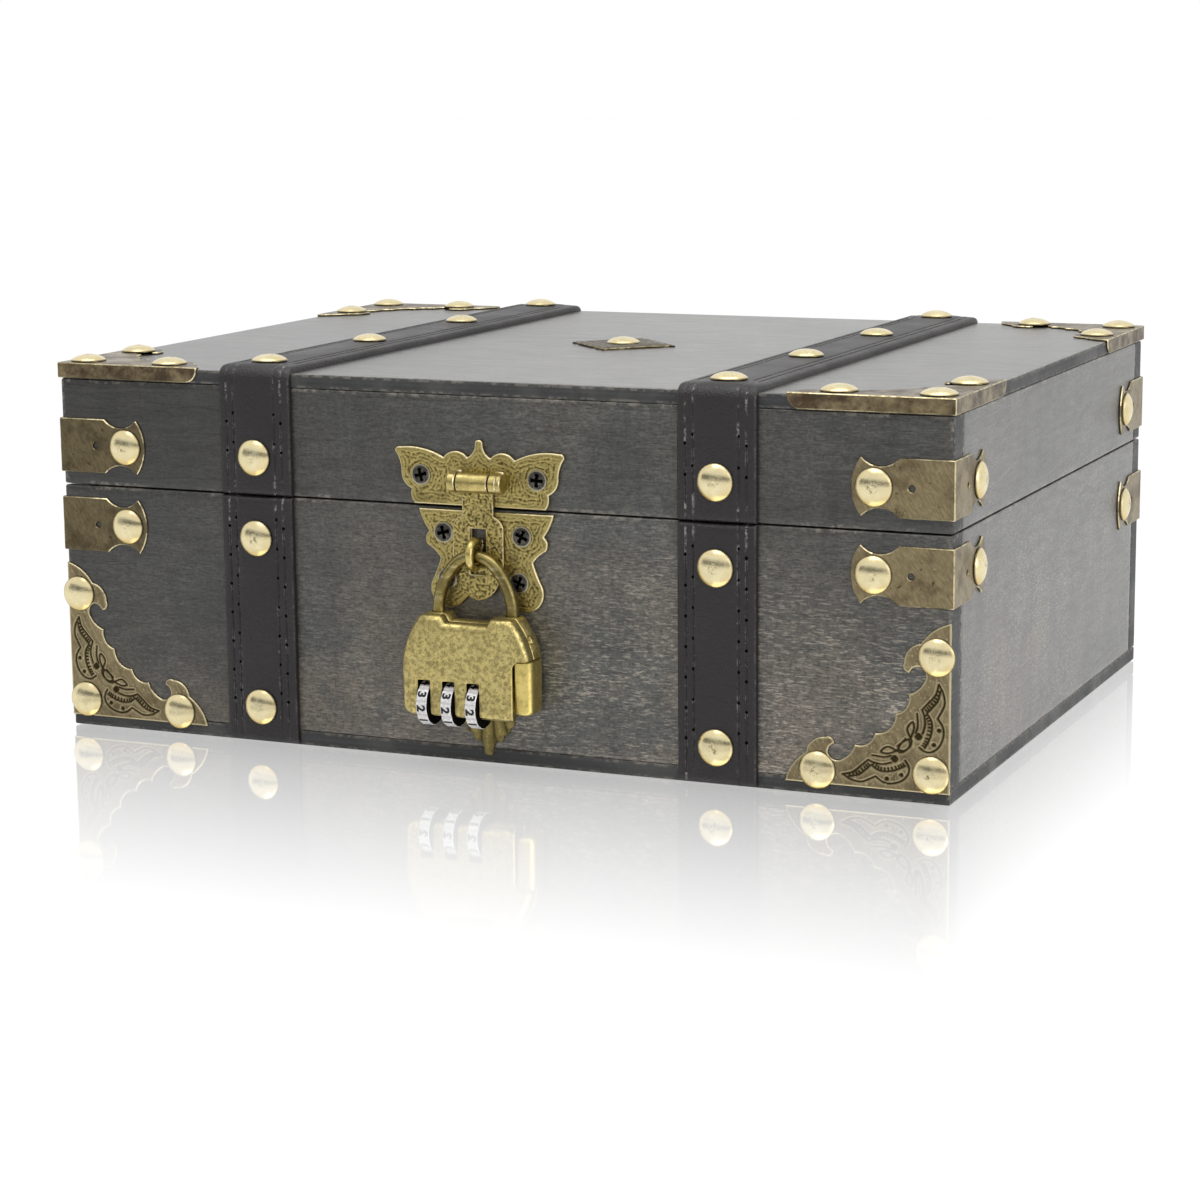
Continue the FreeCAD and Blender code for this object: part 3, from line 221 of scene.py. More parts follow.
class ChestLeatherSettings(bpy.types.PropertyGroup):
    """Straps, their creases and their stitches."""

    tone: colour_setting("Leather", "Colour of the strap leather", (0.0150, 0.0114, 0.0119))
    scuff: colour_setting("Scuff", "Colour of the scuffed creases and edges", (0.310, 0.295, 0.290))
    pitch: length_setting("Stitch Pitch", "Distance between needle holes", 0.0087, 0.002)
    thread: length_setting("Thread", "Thickness of the stitching thread", 0.00042, 0.0001)
    hole: length_setting("Needle Hole", "Radius of the needle holes", 0.00048, 0.00005)
    fold: length_setting(
        "Fold Radius", "Inner radius where a strap folds over the lid's edge", 0.0022, 0.0002)


class ChestBrassSettings(bpy.types.PropertyGroup):
    """Antiqued fittings, tacks and padlock."""

    sheet: colour_setting("Sheet", "Colour of the antiqued sheet fittings", (0.235, 0.190, 0.108))
    cast: colour_setting("Cast", "Colour of the cast hasp's high places", (0.400, 0.325, 0.120))
    crevice: colour_setting("Crevice", "Colour of the dark hollows", (0.060, 0.046, 0.019))
    rim: colour_setting("Rim", "Colour of the bright worn rims", (0.620, 0.540, 0.330))
    tack: colour_setting("Tack", "Colour of the dome tacks", (0.830, 0.730, 0.450))
    padlock: colour_setting("Padlock", "Colour of the padlock's case", (0.610, 0.505, 0.205))
    button: colour_setting("Button", "Colour of the padlock's button", (0.700, 0.560, 0.190))
    chamfer: length_setting("Chamfer", "Width of the worn edges of sheet fittings", 0.00028, 0.00002)
    detail: length_setting(
        "Relief Detail", "Spacing of the points of engraved and cast surfaces", 0.00032, 0.0001)
    engraving: length_setting("Engraving Width", "Width of the engraved lines", 0.00048, 0.0001)
    spread: FloatProperty(
        name="Tack Spread", description="Share by which tacks differ in size", subtype="FACTOR",
        default=0.015, min=0.0, max=0.2)
    seed: IntProperty(name="Seed", description="Seed for the turn of tacks and screws", default=7)


class ChestStageSettings(bpy.types.PropertyGroup):
    """Floor, soft lights and camera."""

    azimuth: angle_setting("Azimuth", "Camera's turn round the box", 23.47)
    elevation: angle_setting("Elevation", "Camera's height above the horizon", 10.65)
    roll: angle_setting("Roll", "Camera's lean", -0.54)
    distance: FloatProperty(
        name="Distance", description="Distance from camera to target", unit="LENGTH", default=0.97527)
    target: FloatVectorProperty(
        name="Target", description="Point that the camera looks at", subtype="TRANSLATION", size=3,
        default=(-0.00886, 0.0, 0.02886))
    lens: FloatProperty(name="Lens", description="Focal length in millimetres", default=91.22, min=1.0)
    surround: FloatProperty(
        name="Surround", description="Level of the even light from all round", default=0.55, min=0.0)
    top: FloatProperty(
        name="Top Light", description="Power of the light overhead", unit="POWER", default=9.0, min=0.0)
    side: FloatProperty(
        name="Side Light", description="Power of the light at the right",
        unit="POWER", default=6.2, min=0.0)
    mirror: FloatProperty(
        name="Floor Mirror", description="Share of the box that the floor mirrors at its foot",
        subtype="FACTOR", default=0.53, min=0.0, max=1.0)
    fade: length_setting("Mirror Fade", "Distance over which the floor's mirror image fades", 0.165, 0.01)


# Materials


def feed(tree, socket, value):
    """Joins an output to a socket, or sets the socket's own value."""
    if isinstance(value, bpy.types.Node):
        value = value.outputs[0]
    if isinstance(value, bpy.types.NodeSocket):
        tree.links.new(value, socket)
    else:
        socket.default_value = value


def add_node(tree, kind, inputs=None, **settings):
    """Adds a node with its settings and inputs."""
    made = tree.nodes.new(kind)
    for key, value in settings.items():
        setattr(made, key, value)
    for key, value in (inputs or {}).items():
        feed(tree, made.inputs[key], value)
    return made


def toned(colour, share):
    """A colour made darker or lighter by a share."""
    return tuple(share * part for part in colour)


class Finish:
    """A material under way: short calls that add nodes and join them."""

    def __init__(self, name, metallic=0.0):
        self.material = bpy.data.materials.new(name)
        self.material.use_nodes = True
        self.tree = self.material.node_tree
        self.shader = self.tree.nodes["Principled BSDF"]
        self.give("Metallic", metallic)
        self.place = self.node("ShaderNodeTexCoord").outputs["Object"]

    def node(self, kind, inputs=None, **settings):
        return add_node(self.tree, kind, inputs, **settings)

    def give(self, socket, value):
        feed(self.tree, self.shader.inputs[socket], value)

    def mapped(self, scale, turn=(0, 0, 0), shift=(0, 0, 0)):
        turned = self.node("ShaderNodeMapping", {"Vector": self.place, "Rotation": turn})
        inputs = {"Vector": turned, "Location": shift, "Scale": scale}
        return self.node("ShaderNodeMapping", inputs).outputs[0]

    def grain(self, scale, detail=3.0, rough=0.55, turn=(0, 0, 0), shift=(0, 0, 0), warp=0.0):
        vector = self.mapped(scale, turn, shift)
        inputs = {"Vector": vector, "Scale": 1.0, "Detail": detail, "Roughness": rough, "Distortion": warp}
        return self.node("ShaderNodeTexNoise", inputs).outputs[0]

    def even(self, scale, **how):
        return self.grain((scale, scale, scale), **how)

    def cells(self, scale):
        inputs = {"Vector": self.mapped((scale, scale, scale)), "Scale": 1.0}
        return self.node("ShaderNodeTexVoronoi", inputs).outputs[0]

    def attribute(self, name):
        return self.node("ShaderNodeAttribute", attribute_name=name).outputs["Fac"]

    def spot(self, axis):
        return self.node("ShaderNodeSeparateXYZ", {"Vector": self.place}).outputs[axis]

    def shaded(self, colour, share):
        grey = self.node("ShaderNodeCombineColor", {0: share, 1: share, 2: share}).outputs[0]
        return self.mix(1.0, colour, grey, "MULTIPLY")

    def step(self, value, low, high, start=0.0, end=1.0):
        inputs = {"Value": value, "From Min": low, "From Max": high, "To Min": start, "To Max": end}
        return self.node("ShaderNodeMapRange", inputs, interpolation_type="SMOOTHSTEP").outputs[0]

    def sum(self, first, second, kind="ADD"):
        return self.node("ShaderNodeMath", {0: first, 1: second}, operation=kind).outputs[0]

    def product(self, first, second):
        return self.sum(first, second, "MULTIPLY")

    def mix(self, share, low, high, blend="MIX"):
        tones = [tone if isinstance(tone, bpy.types.NodeSocket) else (*tone, 1.0) for tone in (low, high)]
        inputs = {0: share, 6: tones[0], 7: tones[1]}
        return self.node("ShaderNodeMix", inputs, data_type="RGBA", blend_type=blend).outputs[2]

    def over(self, colour, mask, low, high, share, tone):
        """Lays a share of a tone over a colour, where a mask rises from low to high."""
        return self.mix(self.product(self.step(mask, low, high), share), colour, tone)

    def bump(self, height, depth, strength=1.0):
        inputs = {"Height": height, "Distance": depth, "Strength": strength}
        return self.node("ShaderNodeBump", inputs).outputs[0]

    def varnish(self, rough, weight, normal):
        self.give("Coat Weight", weight)
        self.give("Coat Roughness", rough)
        self.give("Coat Normal", normal)
        self.give("Specular IOR Level", VARNISHED_SHINE)

    def done(self, colour, rough, normal=None):
        self.give("Base Color", colour)
        self.give("Roughness", rough)
        if normal is not None:
            self.give("Normal", normal)


def along(axis, run, across):
    """Texture scale that stretches a grain along one axis."""
    return tuple(run if place == axis else across for place in range(3))


def wood_face(make, axis, lift, coat):
    look = bpy.context.scene.chest_wood
    # Painted light by height: front and back boards lighter towards the bottom, side boards darker towards
    # the bottom
    foot = 1.36 if axis == 0 else 0.72
    streak = make.grain(along(axis, 70, 430), detail=5.0, rough=0.65, warp=0.4)
    band = make.grain(along(axis, 9, 60), detail=4.0, rough=0.6, shift=(3, 5, 9))
    fine = make.even(1300, detail=3.0, rough=0.65, shift=(4, 9, 2))
    cloud = make.even(21, detail=5.0, rough=0.65, shift=(1, 2, 3))
    stroke = make.grain((110, 110, 11), detail=4.0, rough=0.6, shift=(5, 2, 6))
    flecks = make.grain(along(axis, 420, 2100), detail=3.0, rough=0.6, shift=(7, 3, 1))
    pores = make.grain(along(axis, 360, 2000), detail=3.0, rough=0.6, shift=(2, 8, 4))
    colour = make.mix(make.step(streak, 0.30, 0.72), toned(look.tone, 0.45), look.tone)
    colour = make.mix(make.step(band, 0.35, 0.7, 0.0, 0.45), colour, look.tone)
    low = make.step(make.spot("Z"), 0.004, 0.085, 1.0, 0.25)
    # Pale flecks fade out towards the left of the box, part of the painted shade there, and thin out towards
    # the top
    away = make.step(make.spot("X"), -0.10, 0.10, 0.30, 1.0)
    patch = make.step(make.even(26, detail=5.0, rough=0.65, shift=(6, 1, 5)), 0.40, 0.62)
    patch = make.product(patch, low)
    colour = make.mix(make.product(patch, 0.85), colour, look.brown)
    colour = make.shaded(colour, make.step(fine, 0.30, 0.70, 0.62, 1.40))
    away = make.product(away, make.step(make.spot("Z"), 0.03, 0.085, 1.0, 0.35))
    vivid = make.product(make.step(cloud, 0.32, 0.66, 0.30, 1.0), away)
    pale = make.product(make.step(flecks, 0.50, 0.66), vivid)
    colour = make.mix(make.product(pale, 0.85), colour, look.fleck)
    colour = make.over(colour, pores, 0.50, 0.64, 0.75, look.deep)
    # Painted light and shade: lift makes each set of boards lighter or darker by body and by the way it
    # faces, and the cloud varies it at random
    shade = make.step(cloud, 0.25, 0.75, 0.72 * lift, 1.22 * lift)
    shade = make.sum(shade, make.step(stroke, 0.3, 0.7, -0.12, 0.14))
    # Painted light by height, with the foot share set above
    colour = make.shaded(colour, make.product(shade, make.step(make.spot("Z"), 0.0, 0.055, foot, 1.0)))
    # Painted shade: the boards darker towards the left of the box, and the front and back boards also darker
    # towards the right
    colour = make.shaded(colour, make.step(make.spot("X"), -0.13, 0.03, 0.34, 1.0))
    colour = make.shaded(colour, make.step(make.spot("X"), 0.03, 0.12, 1.0, 0.80 if axis == 0 else 1.0))
    rubbed = make.product(make.step(make.even(380, detail=5.0, rough=0.75), 0.46, 0.60),
                          make.step(make.even(60, detail=3.0, shift=(8, 1, 2)), 0.40, 0.60))
    worn = make.product(make.step(make.attribute("wear"), 0.55, 1.0), rubbed)
    colour = make.mix(make.product(worn, 0.40), colour, look.fleck)
    raised = make.product(make.sum(streak, fine), 0.4)
    sunk = make.product(make.step(pores, 0.52, 0.70), -0.5)
    normal = make.bump(make.sum(raised, sunk), 0.00016, 0.7)
    brushed = make.sum(make.product(streak, 0.5), make.sum(band, cloud))
    make.varnish(0.30, coat, make.bump(brushed, 0.0006, 0.8))
    make.done(colour, make.step(streak, 0.3, 0.7, 0.55, 0.45), normal)


def wood_edge(make):
    look = bpy.context.scene.chest_wood
    layers = make.grain((9, 9, 900), detail=4.0, rough=0.6)
    patch = make.even(60, detail=4.0, rough=0.6)
    pits = make.even(1500, detail=2.0)
    colour = make.mix(make.step(layers, 0.35, 0.7), look.deep, look.edge)
    colour = make.over(colour, patch, 0.5, 0.75, 0.5, look.tone)
    rubbed = make.step(make.even(500, detail=4.0), 0.45, 0.6)
    worn = make.product(make.step(make.attribute("wear"), 0.55, 1.0), rubbed)
    colour = make.mix(make.product(worn, 0.25), colour, look.fleck)
    normal = make.bump(make.sum(layers, pits), 0.0003, 0.8)
    make.done(colour, make.step(patch, 0.3, 0.7, 0.62, 0.48), normal)


def strap_leather(make):
    look = bpy.context.scene.chest_leather
    pebble = make.cells(1500)
    wrinkle = make.even(420, detail=5.0, rough=0.65, warp=0.6)
    cloud = make.even(55, detail=4.0)
    colour = make.mix(make.step(cloud, 0.3, 0.7), toned(look.tone, 0.72), look.tone)
    colour = make.over(colour, pebble, 0.0, 0.7, 0.3, toned(look.tone, 0.35))
    rub = make.step(make.even(800, detail=4.0, rough=0.7), 0.46, 0.60)
    patch = make.step(make.even(170, detail=3.0, shift=(4, 4, 1)), 0.44, 0.58)
    scuff = make.product(make.step(make.attribute("scuff"), 0.35, 1.0), make.product(rub, patch))
    colour = make.mix(make.product(scuff, 0.9), colour, look.scuff)
    normal = make.bump(make.sum(make.product(pebble, 0.6), wrinkle), 0.00022, 0.75)
    make.done(colour, make.step(cloud, 0.3, 0.7, 0.52, 0.42), normal)


def strap_thread(make):
    look = bpy.context.scene.chest_leather
    twist = make.even(2600, detail=2.0)
    colour = make.mix(make.step(twist, 0.35, 0.65), (0.006, 0.005, 0.005), toned(look.tone, 1.6))
    make.done(colour, 0.7, make.bump(twist, 0.0001))


def sheet_brass(make):
    look = bpy.context.scene.chest_brass
    scratch = make.grain((1500, 1500, 70), detail=3.0, rough=0.6, turn=(0.35, 0.5, 0.0))
    cross = make.grain((1700, 1700, 90), detail=2.0, turn=(-0.4, -0.65, 0.0), shift=(3, 1, 2))
    stain = make.even(95, detail=5.0, rough=0.65)
    spots = make.even(640, detail=3.0, shift=(5, 2, 8))
    colour = make.mix(make.step(scratch, 0.32, 0.70), toned(look.sheet, 0.86),
                      toned(look.sheet, 1.24))
    colour = make.over(colour, stain, 0.46, 0.66, 0.75, (0.105, 0.075, 0.044))
    colour = make.over(colour, spots, 0.66, 0.72, 0.8, look.crevice)
    colour = make.over(colour, cross, 0.66, 0.76, 0.35, look.rim)
    # Painted shade: the sheet fittings darker towards the left of the box
    colour = make.shaded(colour, make.step(make.spot("X"), -0.13, 0.04, 0.62, 1.02))
    normal = make.bump(make.sum(scratch, make.product(cross, 0.4)), 0.00003, 0.5)
    make.done(colour, make.step(stain, 0.3, 0.75, 0.32, 0.46), normal)


def cover_brass(make):
    look = bpy.context.scene.chest_brass
    stain = make.even(130, detail=5.0, rough=0.7)
    rust = make.even(75, detail=4.0, rough=0.65, shift=(3, 8, 2))
    spots = make.even(700, detail=3.0, shift=(5, 2, 8))
    colour = make.mix(make.step(stain, 0.34, 0.64), toned(look.sheet, 1.16), (0.084, 0.060, 0.040))
    colour = make.over(colour, rust, 0.50, 0.66, 0.6, (0.085, 0.052, 0.032))
    colour = make.over(colour, spots, 0.62, 0.70, 0.7, look.crevice)
    make.done(colour, make.step(stain, 0.3, 0.75, 0.30, 0.46), make.bump(stain, 0.00005, 0.5))


def bright_rim(make):
    look = bpy.context.scene.chest_brass
    wear = make.even(300, detail=4.0, rough=0.7)
    colour = make.mix(make.step(wear, 0.35, 0.62), look.sheet, look.rim)
    make.done(colour, make.step(wear, 0.3, 0.7, 0.42, 0.26), make.bump(wear, 0.00004, 0.5))


def engraved_brass(make, tone, edge):
    look = bpy.context.scene.chest_brass
    scratch = make.grain((1300, 1300, 80), detail=3.0, rough=0.6, turn=(0.0, 0.5, 0.0))
    stain = make.even(140, detail=5.0, rough=0.65)
    speck = make.even(1200, detail=3.0)
    rim = make.step(make.attribute("rim"), 0.35, 1.0)
    ink = make.step(make.attribute("ink"), 0.15, 0.95)
    colour = make.mix(make.step(scratch, 0.32, 0.70), toned(look.sheet, 0.86 * tone),
                      toned(look.sheet, 1.25 * tone))
    colour = make.over(colour, stain, 0.44, 0.66, 0.6, (0.110, 0.078, 0.044))
    colour = make.over(colour, speck, 0.58, 0.70, 0.5 * edge, look.rim)
    bright = make.product(rim, make.step(stain, 0.25, 0.55, 0.95 * edge, 0.7 * edge))
    colour = make.mix(bright, colour, look.rim)
    colour = make.mix(ink, colour, toned(look.crevice, 0.70))
    rough = make.sum(make.step(stain, 0.3, 0.75, 0.32, 0.44), make.product(ink, 0.3))
    make.done(colour, rough, make.bump(make.sum(scratch, speck), 0.00004, 0.6))


def cast_brass(make, dark):
    look = bpy.context.scene.chest_brass
    relief = make.attribute("relief")
    rim = make.step(make.attribute("rim"), 0.25, 0.9)
    speck = make.even(1700, detail=3.0, rough=0.6)
    stain = make.even(150, detail=4.0)
    tone = toned(look.cast, dark)
    level = make.sum(relief, make.product(make.sum(speck, 0.5, "SUBTRACT"), 0.45))
    colour = make.mix(make.step(level, 0.15, 0.66), toned(tone, 0.26), tone)
    colour = make.over(colour, level, 0.74, 1.0, 0.6, toned(look.cast, 1.5))
    colour = make.over(colour, stain, 0.48, 0.72, 0.4, look.crevice)
    colour = make.mix(make.product(rim, 0.9), colour, toned(look.rim, 1.2))
    make.done(colour, make.step(level, 0.2, 0.8, 0.50, 0.32), make.bump(speck, 0.00014, 0.8))


def turned_brass(make, tone):
    look = bpy.context.scene.chest_brass
    wear = make.even(160, detail=5.0, rough=0.65)
    fine = make.even(1000, detail=3.0, rough=0.6)
    lines = make.grain((60, 900, 900), detail=2.0)
    shade = toned(look.cast, tone)
    colour = make.mix(make.step(wear, 0.34, 0.62), toned(shade, 0.62), shade)
    colour = make.over(colour, fine, 0.58, 0.68, 0.5, look.crevice)
    colour = make.over(colour, lines, 0.55, 0.72, 0.4, look.rim)
    make.done(colour, make.step(wear, 0.3, 0.7, 0.38, 0.27), make.bump(fine, 0.00005, 0.5))


def tack_brass(make):
    look = bpy.context.scene.chest_brass
    crown = make.attribute("crown")
    worn = make.even(300, detail=5.0, rough=0.7)
    fine = make.even(950, detail=4.0, rough=0.65)
    shift = make.even(140, detail=2.0, shift=(9, 4, 2))
    colour = make.mix(make.step(worn, 0.34, 0.66), toned(look.tack, 0.86), look.tack)
    colour = make.over(colour, worn, 0.56, 0.74, 0.4, (0.80, 0.77, 0.66))
    # Painted reflection: the parts of the dome that face down, towards its rim, take a warmer gold
    painted_down_share = make.step(make.attribute("fall"), 0.15, 0.55, 0.25, 0.95)
    painted_warm_underside = make.product(make.step(crown, 0.55, 0.08), painted_down_share)
    colour = make.mix(painted_warm_underside, colour, (0.70, 0.53, 0.21))
    near = make.step(crown, 0.62, 0.86)
    pits = make.product(make.step(fine, 0.48, 0.60), make.product(near, make.step(shift, 0.48, 0.60)))
    colour = make.mix(make.product(pits, 0.8), colour, (0.19, 0.150, 0.080))
    colour = make.over(colour, fine, 0.68, 0.74, 0.35, (0.22, 0.17, 0.08))
    # Painted contact shadow: the foot of the dome darkened to the crevice colour
    foot = make.step(crown, 0.075, 0.012)
    colour = make.mix(make.product(foot, 0.85), colour, look.crevice)
    relief = make.sum(make.product(pits, -1.0), make.product(worn, 0.35))
    make.done(colour, make.step(worn, 0.3, 0.75, 0.20, 0.32), make.bump(relief, 0.00012, 0.7))


def padlock_brass(make):
    look = bpy.context.scene.chest_brass
    mottle = make.even(760, detail=5.0, rough=0.7)
    speck = make.even(1600, detail=3.0, rough=0.65, shift=(2, 5, 1))
    cloud = make.even(85, detail=4.0, rough=0.6)
    scratch = make.grain((1100, 1100, 90), detail=3.0, turn=(0.3, 0.7, 0))
    colour = make.mix(make.step(mottle, 0.36, 0.60), toned(look.padlock, 0.50), look.padlock)
    colour = make.over(colour, speck, 0.54, 0.66, 0.65, (0.150, 0.112, 0.036))
    colour = make.over(colour, scratch, 0.58, 0.72, 0.45, look.rim)
    colour = make.over(colour, cloud, 0.48, 0.70, 0.40, (0.340, 0.275, 0.105))
    make.done(colour, make.step(mottle, 0.3, 0.7, 0.50, 0.36), make.bump(mottle, 0.00008, 0.7))


def button_brass(make):
    look = bpy.context.scene.chest_brass
    worn = make.even(280, detail=5.0, rough=0.65)
    fine = make.even(1100, detail=3.0)
    colour = make.mix(make.step(worn, 0.34, 0.62), toned(look.button, 0.72), look.button)
    colour = make.over(colour, fine, 0.58, 0.70, 0.4, (0.160, 0.110, 0.025))
    colour = make.over(colour, worn, 0.58, 0.76, 0.5, (0.74, 0.62, 0.27))
    make.done(colour, make.step(worn, 0.3, 0.7, 0.42, 0.30), make.bump(worn, 0.00005, 0.5))


def screw_steel(make):
    recess = make.step(make.attribute("recess"), 0.2, 0.7)
    rim = make.step(make.attribute("ring"), 0.80, 0.96)
    worn = make.even(900, detail=4.0, rough=0.65)
    colour = make.mix(make.step(worn, 0.35, 0.65), (0.045, 0.042, 0.035), (0.125, 0.118, 0.098))
    colour = make.mix(make.product(rim, 0.8), colour, (0.480, 0.440, 0.330))
    # Painted shade: the cross recess is made near black
    colour = make.mix(recess, colour, (0.003, 0.003, 0.003))
    rough = make.sum(make.step(worn, 0.3, 0.7, 0.44, 0.32), make.product(recess, 0.5))
    make.done(colour, rough, make.bump(worn, 0.00005, 0.5))


def dial_metal(make):
    fine = make.even(1500, detail=3.0)
    cloud = make.even(330, detail=3.0, shift=(3, 3, 7))
    colour = make.mix(make.step(fine, 0.35, 0.68), (0.66, 0.65, 0.65), (0.88, 0.87, 0.86))
    colour = make.over(colour, cloud, 0.50, 0.68, 0.3, (0.52, 0.49, 0.48))
    colour = make.over(colour, make.attribute("groove"), 0.3, 1.0, 0.4, (0.42, 0.39, 0.39))
    make.done(colour, make.step(fine, 0.3, 0.7, 0.42, 0.30), make.bump(fine, 0.00004, 0.5))


def speckled(make, scale, low, high, rough, shine):
    """A dull dark finish: painted shade for needle holes and pockets, and ink for printed figures."""
    make.give("Specular IOR Level", shine)
    make.done(make.mix(make.even(scale, detail=2.0), low, high), rough)


# Each finish: its function, how metallic it is and what else the function takes
FINISHES = {
    # Wood rows: grain axis, a brightness share (lift) and the coat; lift is painted light and shade, set
    # apart for each body and for front and back against side boards
    "wood_base_x": (wood_face, 0.0, 0, 1.12, 1.0),
    "wood_base_y": (wood_face, 0.0, 1, 0.80, 0.92),
    "wood_lid_x": (wood_face, 0.0, 0, 0.78, 1.0),
    "wood_lid_y": (wood_face, 0.0, 1, 0.64, 0.92),
    "wood_board_edge": (wood_edge, 0.0),
    "strap_leather": (strap_leather, 0.0),
    "strap_thread": (strap_thread, 0.0),
    "needle_hole": (speckled, 0.0, 3000, (0.0015, 0.0012, 0.0012), (0.004, 0.0035, 0.0035), 0.9, 0.0),
    "sheet_brass": (sheet_brass, 1.0),
    "cover_brass": (cover_brass, 1.0),
    "bright_rim": (bright_rim, 1.0),
    "engraved_brass": (engraved_brass, 1.0, 1.0, 1.0),
    "diamond_brass": (engraved_brass, 1.0, 0.35, 0.3),
    "cast_brass": (cast_brass, 1.0, 1.06),
    "cast_brass_flap": (cast_brass, 1.0, 1.1),
    "cast_brass_leaf": (cast_brass, 1.0, 0.5),
    "turned_brass": (turned_brass, 1.0, 1.5),
    "shackle_brass": (turned_brass, 1.0, 0.70),
    "padlock_edge": (turned_brass, 1.0, 1.35),
    "tack_brass": (tack_brass, 1.0),
    "padlock_brass": (padlock_brass, 1.0),
    "button_brass": (button_brass, 1.0),
    "screw_steel": (screw_steel, 1.0),
    "dial_metal": (dial_metal, 0.15),
    "dial_ink": (speckled, 0.0, 2200, (0.0015, 0.0015, 0.002), (0.007, 0.007, 0.008), 0.6, 0.5),
    "pocket_dark": (speckled, 0.0, 1800, (0.002, 0.002, 0.0015), (0.006, 0.0055, 0.004), 0.8, 0.05),
}


def finish(name):
    label = f"{name}_finish"
    if label not in bpy.data.materials:
        dress, metallic, *how = FINISHES[name]
        dress(Finish(label, metallic), *how)
    return bpy.data.materials[label]


# Meshes


def linked(name, data):
    """A new object in the scene."""
    made = bpy.data.objects.new(name, data)
    bpy.context.scene.collection.objects.link(made)
    return made


def mesh_from(form, name):
    """A mesh from a bmesh, which is freed."""
    mesh = bpy.data.meshes.new(name)
    form.to_mesh(mesh)
    form.free()
    return mesh


def joined(form, other):
    """Adds the faces of a second bmesh, which is freed."""
    mesh = mesh_from(other, "joined")
    form.from_mesh(mesh)
    bpy.data.meshes.remove(mesh)


def bridged(form, rings):
    """Adds the faces between each ring of points and the next."""
    for before, after in zip(rings, rings[1:]):
        for place in range(len(before)):
            onward = (place + 1) % len(before)
            corners = [before[place], before[onward], after[onward], after[place]]
            form.faces.new(list(dict.fromkeys(corners)))


def outward(form):
    """Turns the faces of a closed bmesh outwards."""
    bmesh.ops.recalc_face_normals(form, faces=form.faces)


def piece_from(form, name, finishes, smooth=SHARP):
    """An object from a bmesh, with its finishes and shaded smooth up to an angle."""
    mesh = mesh_from(form, name)
    for each in finishes:
        mesh.materials.append(finish(each))
    mesh.polygons.foreach_set("use_smooth", [True] * len(mesh.polygons))
    mesh.set_sharp_from_angle(angle=smooth)
    return linked(name, mesh)


def made_plain(piece):
    """Turns a piece's modifiers into its own plain mesh."""
    graph = bpy.context.evaluated_depsgraph_get()
    mesh = bpy.data.meshes.new_from_object(
        piece.evaluated_get(graph), preserve_all_data_layers=True, depsgraph=graph)
    before = piece.data
    piece.modifiers.clear()
    piece.data = mesh
    mesh.name = piece.name
    bpy.data.meshes.remove(before)
    return piece


def settle(piece, body, slot, *nodes):
    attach(piece, body)
    if nodes:
        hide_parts(*nodes)
    return piece


def node_form(node):
    """A bmesh of a CAD node with its loose triangles joined up."""
    form = bmesh.new()
    form.from_mesh(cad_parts[node].data)
    bmesh.ops.remove_doubles(form, verts=form.verts, dist=MERGE)
    return form


def small_holes(node):
    """Middle, radius and facing of each small round hole in a sheet fitting."""
    found = []
    for facing in (FRONT, -FRONT, RIGHT, -RIGHT, UP):
        for _, _, loops in facing_loops(node, facing):
            for loop in loops:
                middle = sum(loop, Vector()) / len(loop)
                radius = max((spot - middle).length for spot in loop)
                if radius < SMALL_HOLE:
                    found.append((middle, radius, facing))
    return found


def plugged(form, holes):
    """Closes holes that a tack's head hides, so that the sheet's faces are whole."""
    walls = set()
    for middle, radius, facing in holes:
        for face in form.faces:
            steps = [vert.co - middle for vert in face.verts]
            if all((step - facing * step.dot(facing)).length < radius + HOLE_SLACK
                   and step.length < HOLE_REACH for step in steps):
                walls.add(face)
    bmesh.ops.delete(form, geom=list(walls), context="FACES")
    bmesh.ops.holes_fill(form, edges=form.edges, sides=0)
    outward(form)


def solid_copy(node, holes):
    """A bmesh of a CAD node with its flat faces made whole and some holes closed."""
    form = node_form(node)
    if holes:
        plugged(form, holes)
    bmesh.ops.dissolve_limit(form, angle_limit=FLAT, verts=form.verts, edges=form.edges)
    for face in form.faces:
        face.material_index = 0
    return form


def edged_piece(node, label, finishes, holes=()):
    """A CAD node as a piece whose sharp edges have a narrow worn chamfer in its second finish."""
    piece = piece_from(solid_copy(node, holes), f"{node}_{label}", finishes)
    edges = piece.modifiers.new("Worn Edges", "BEVEL")
    edges.width = bpy.context.scene.chest_brass.chamfer
    edges.segments = 1
    edges.limit_method = "ANGLE"
    edges.angle_limit = CHAMFERED
    edges.use_clamp_overlap = False
    edges.material = 1
    made_plain(piece)
    piece.data.set_sharp_from_angle(angle=SHARP)
    for face in piece.data.polygons:
        face.use_smooth = len(face.vertices) <= STRIP_CORNERS
    return piece


def islands(nodes):
    """Corners of the box round each separate solid of CAD group nodes."""
    found = []
    for node in nodes:
        form = node_form(node)
        left = dict.fromkeys(form.verts)
        while left:
            reached = [next(iter(left))]
            del left[reached[0]]
            for vert in reached:
                for edge in vert.link_edges:
                    other = edge.other_vert(vert)
                    if other in left:
                        del left[other]
                        reached.append(other)
            low = Vector([min(vert.co[axis] for vert in reached) for axis in range(3)])
            high = Vector([max(vert.co[axis] for vert in reached) for axis in range(3)])
            found.append((low, high))
        form.free()
    return found


def outward_places(nodes, width):
    """Outer end and direction of each tack or screw, told by the side that isn't its head's width."""
    places = []
    for low, high in islands(nodes):
        size = high - low
        axis = max(range(3), key=lambda place: abs(size[place] - width))
        middle = (low + high) / 2
        sign = 1.0 if axis == 2 or middle[axis] > 0 else -1.0
        facing = Vector([sign if place == axis else 0.0 for place in range(3)])
        outer = middle.copy()
        outer[axis] = high[axis] if sign > 0 else low[axis]
        places.append((outer, facing))
    return places


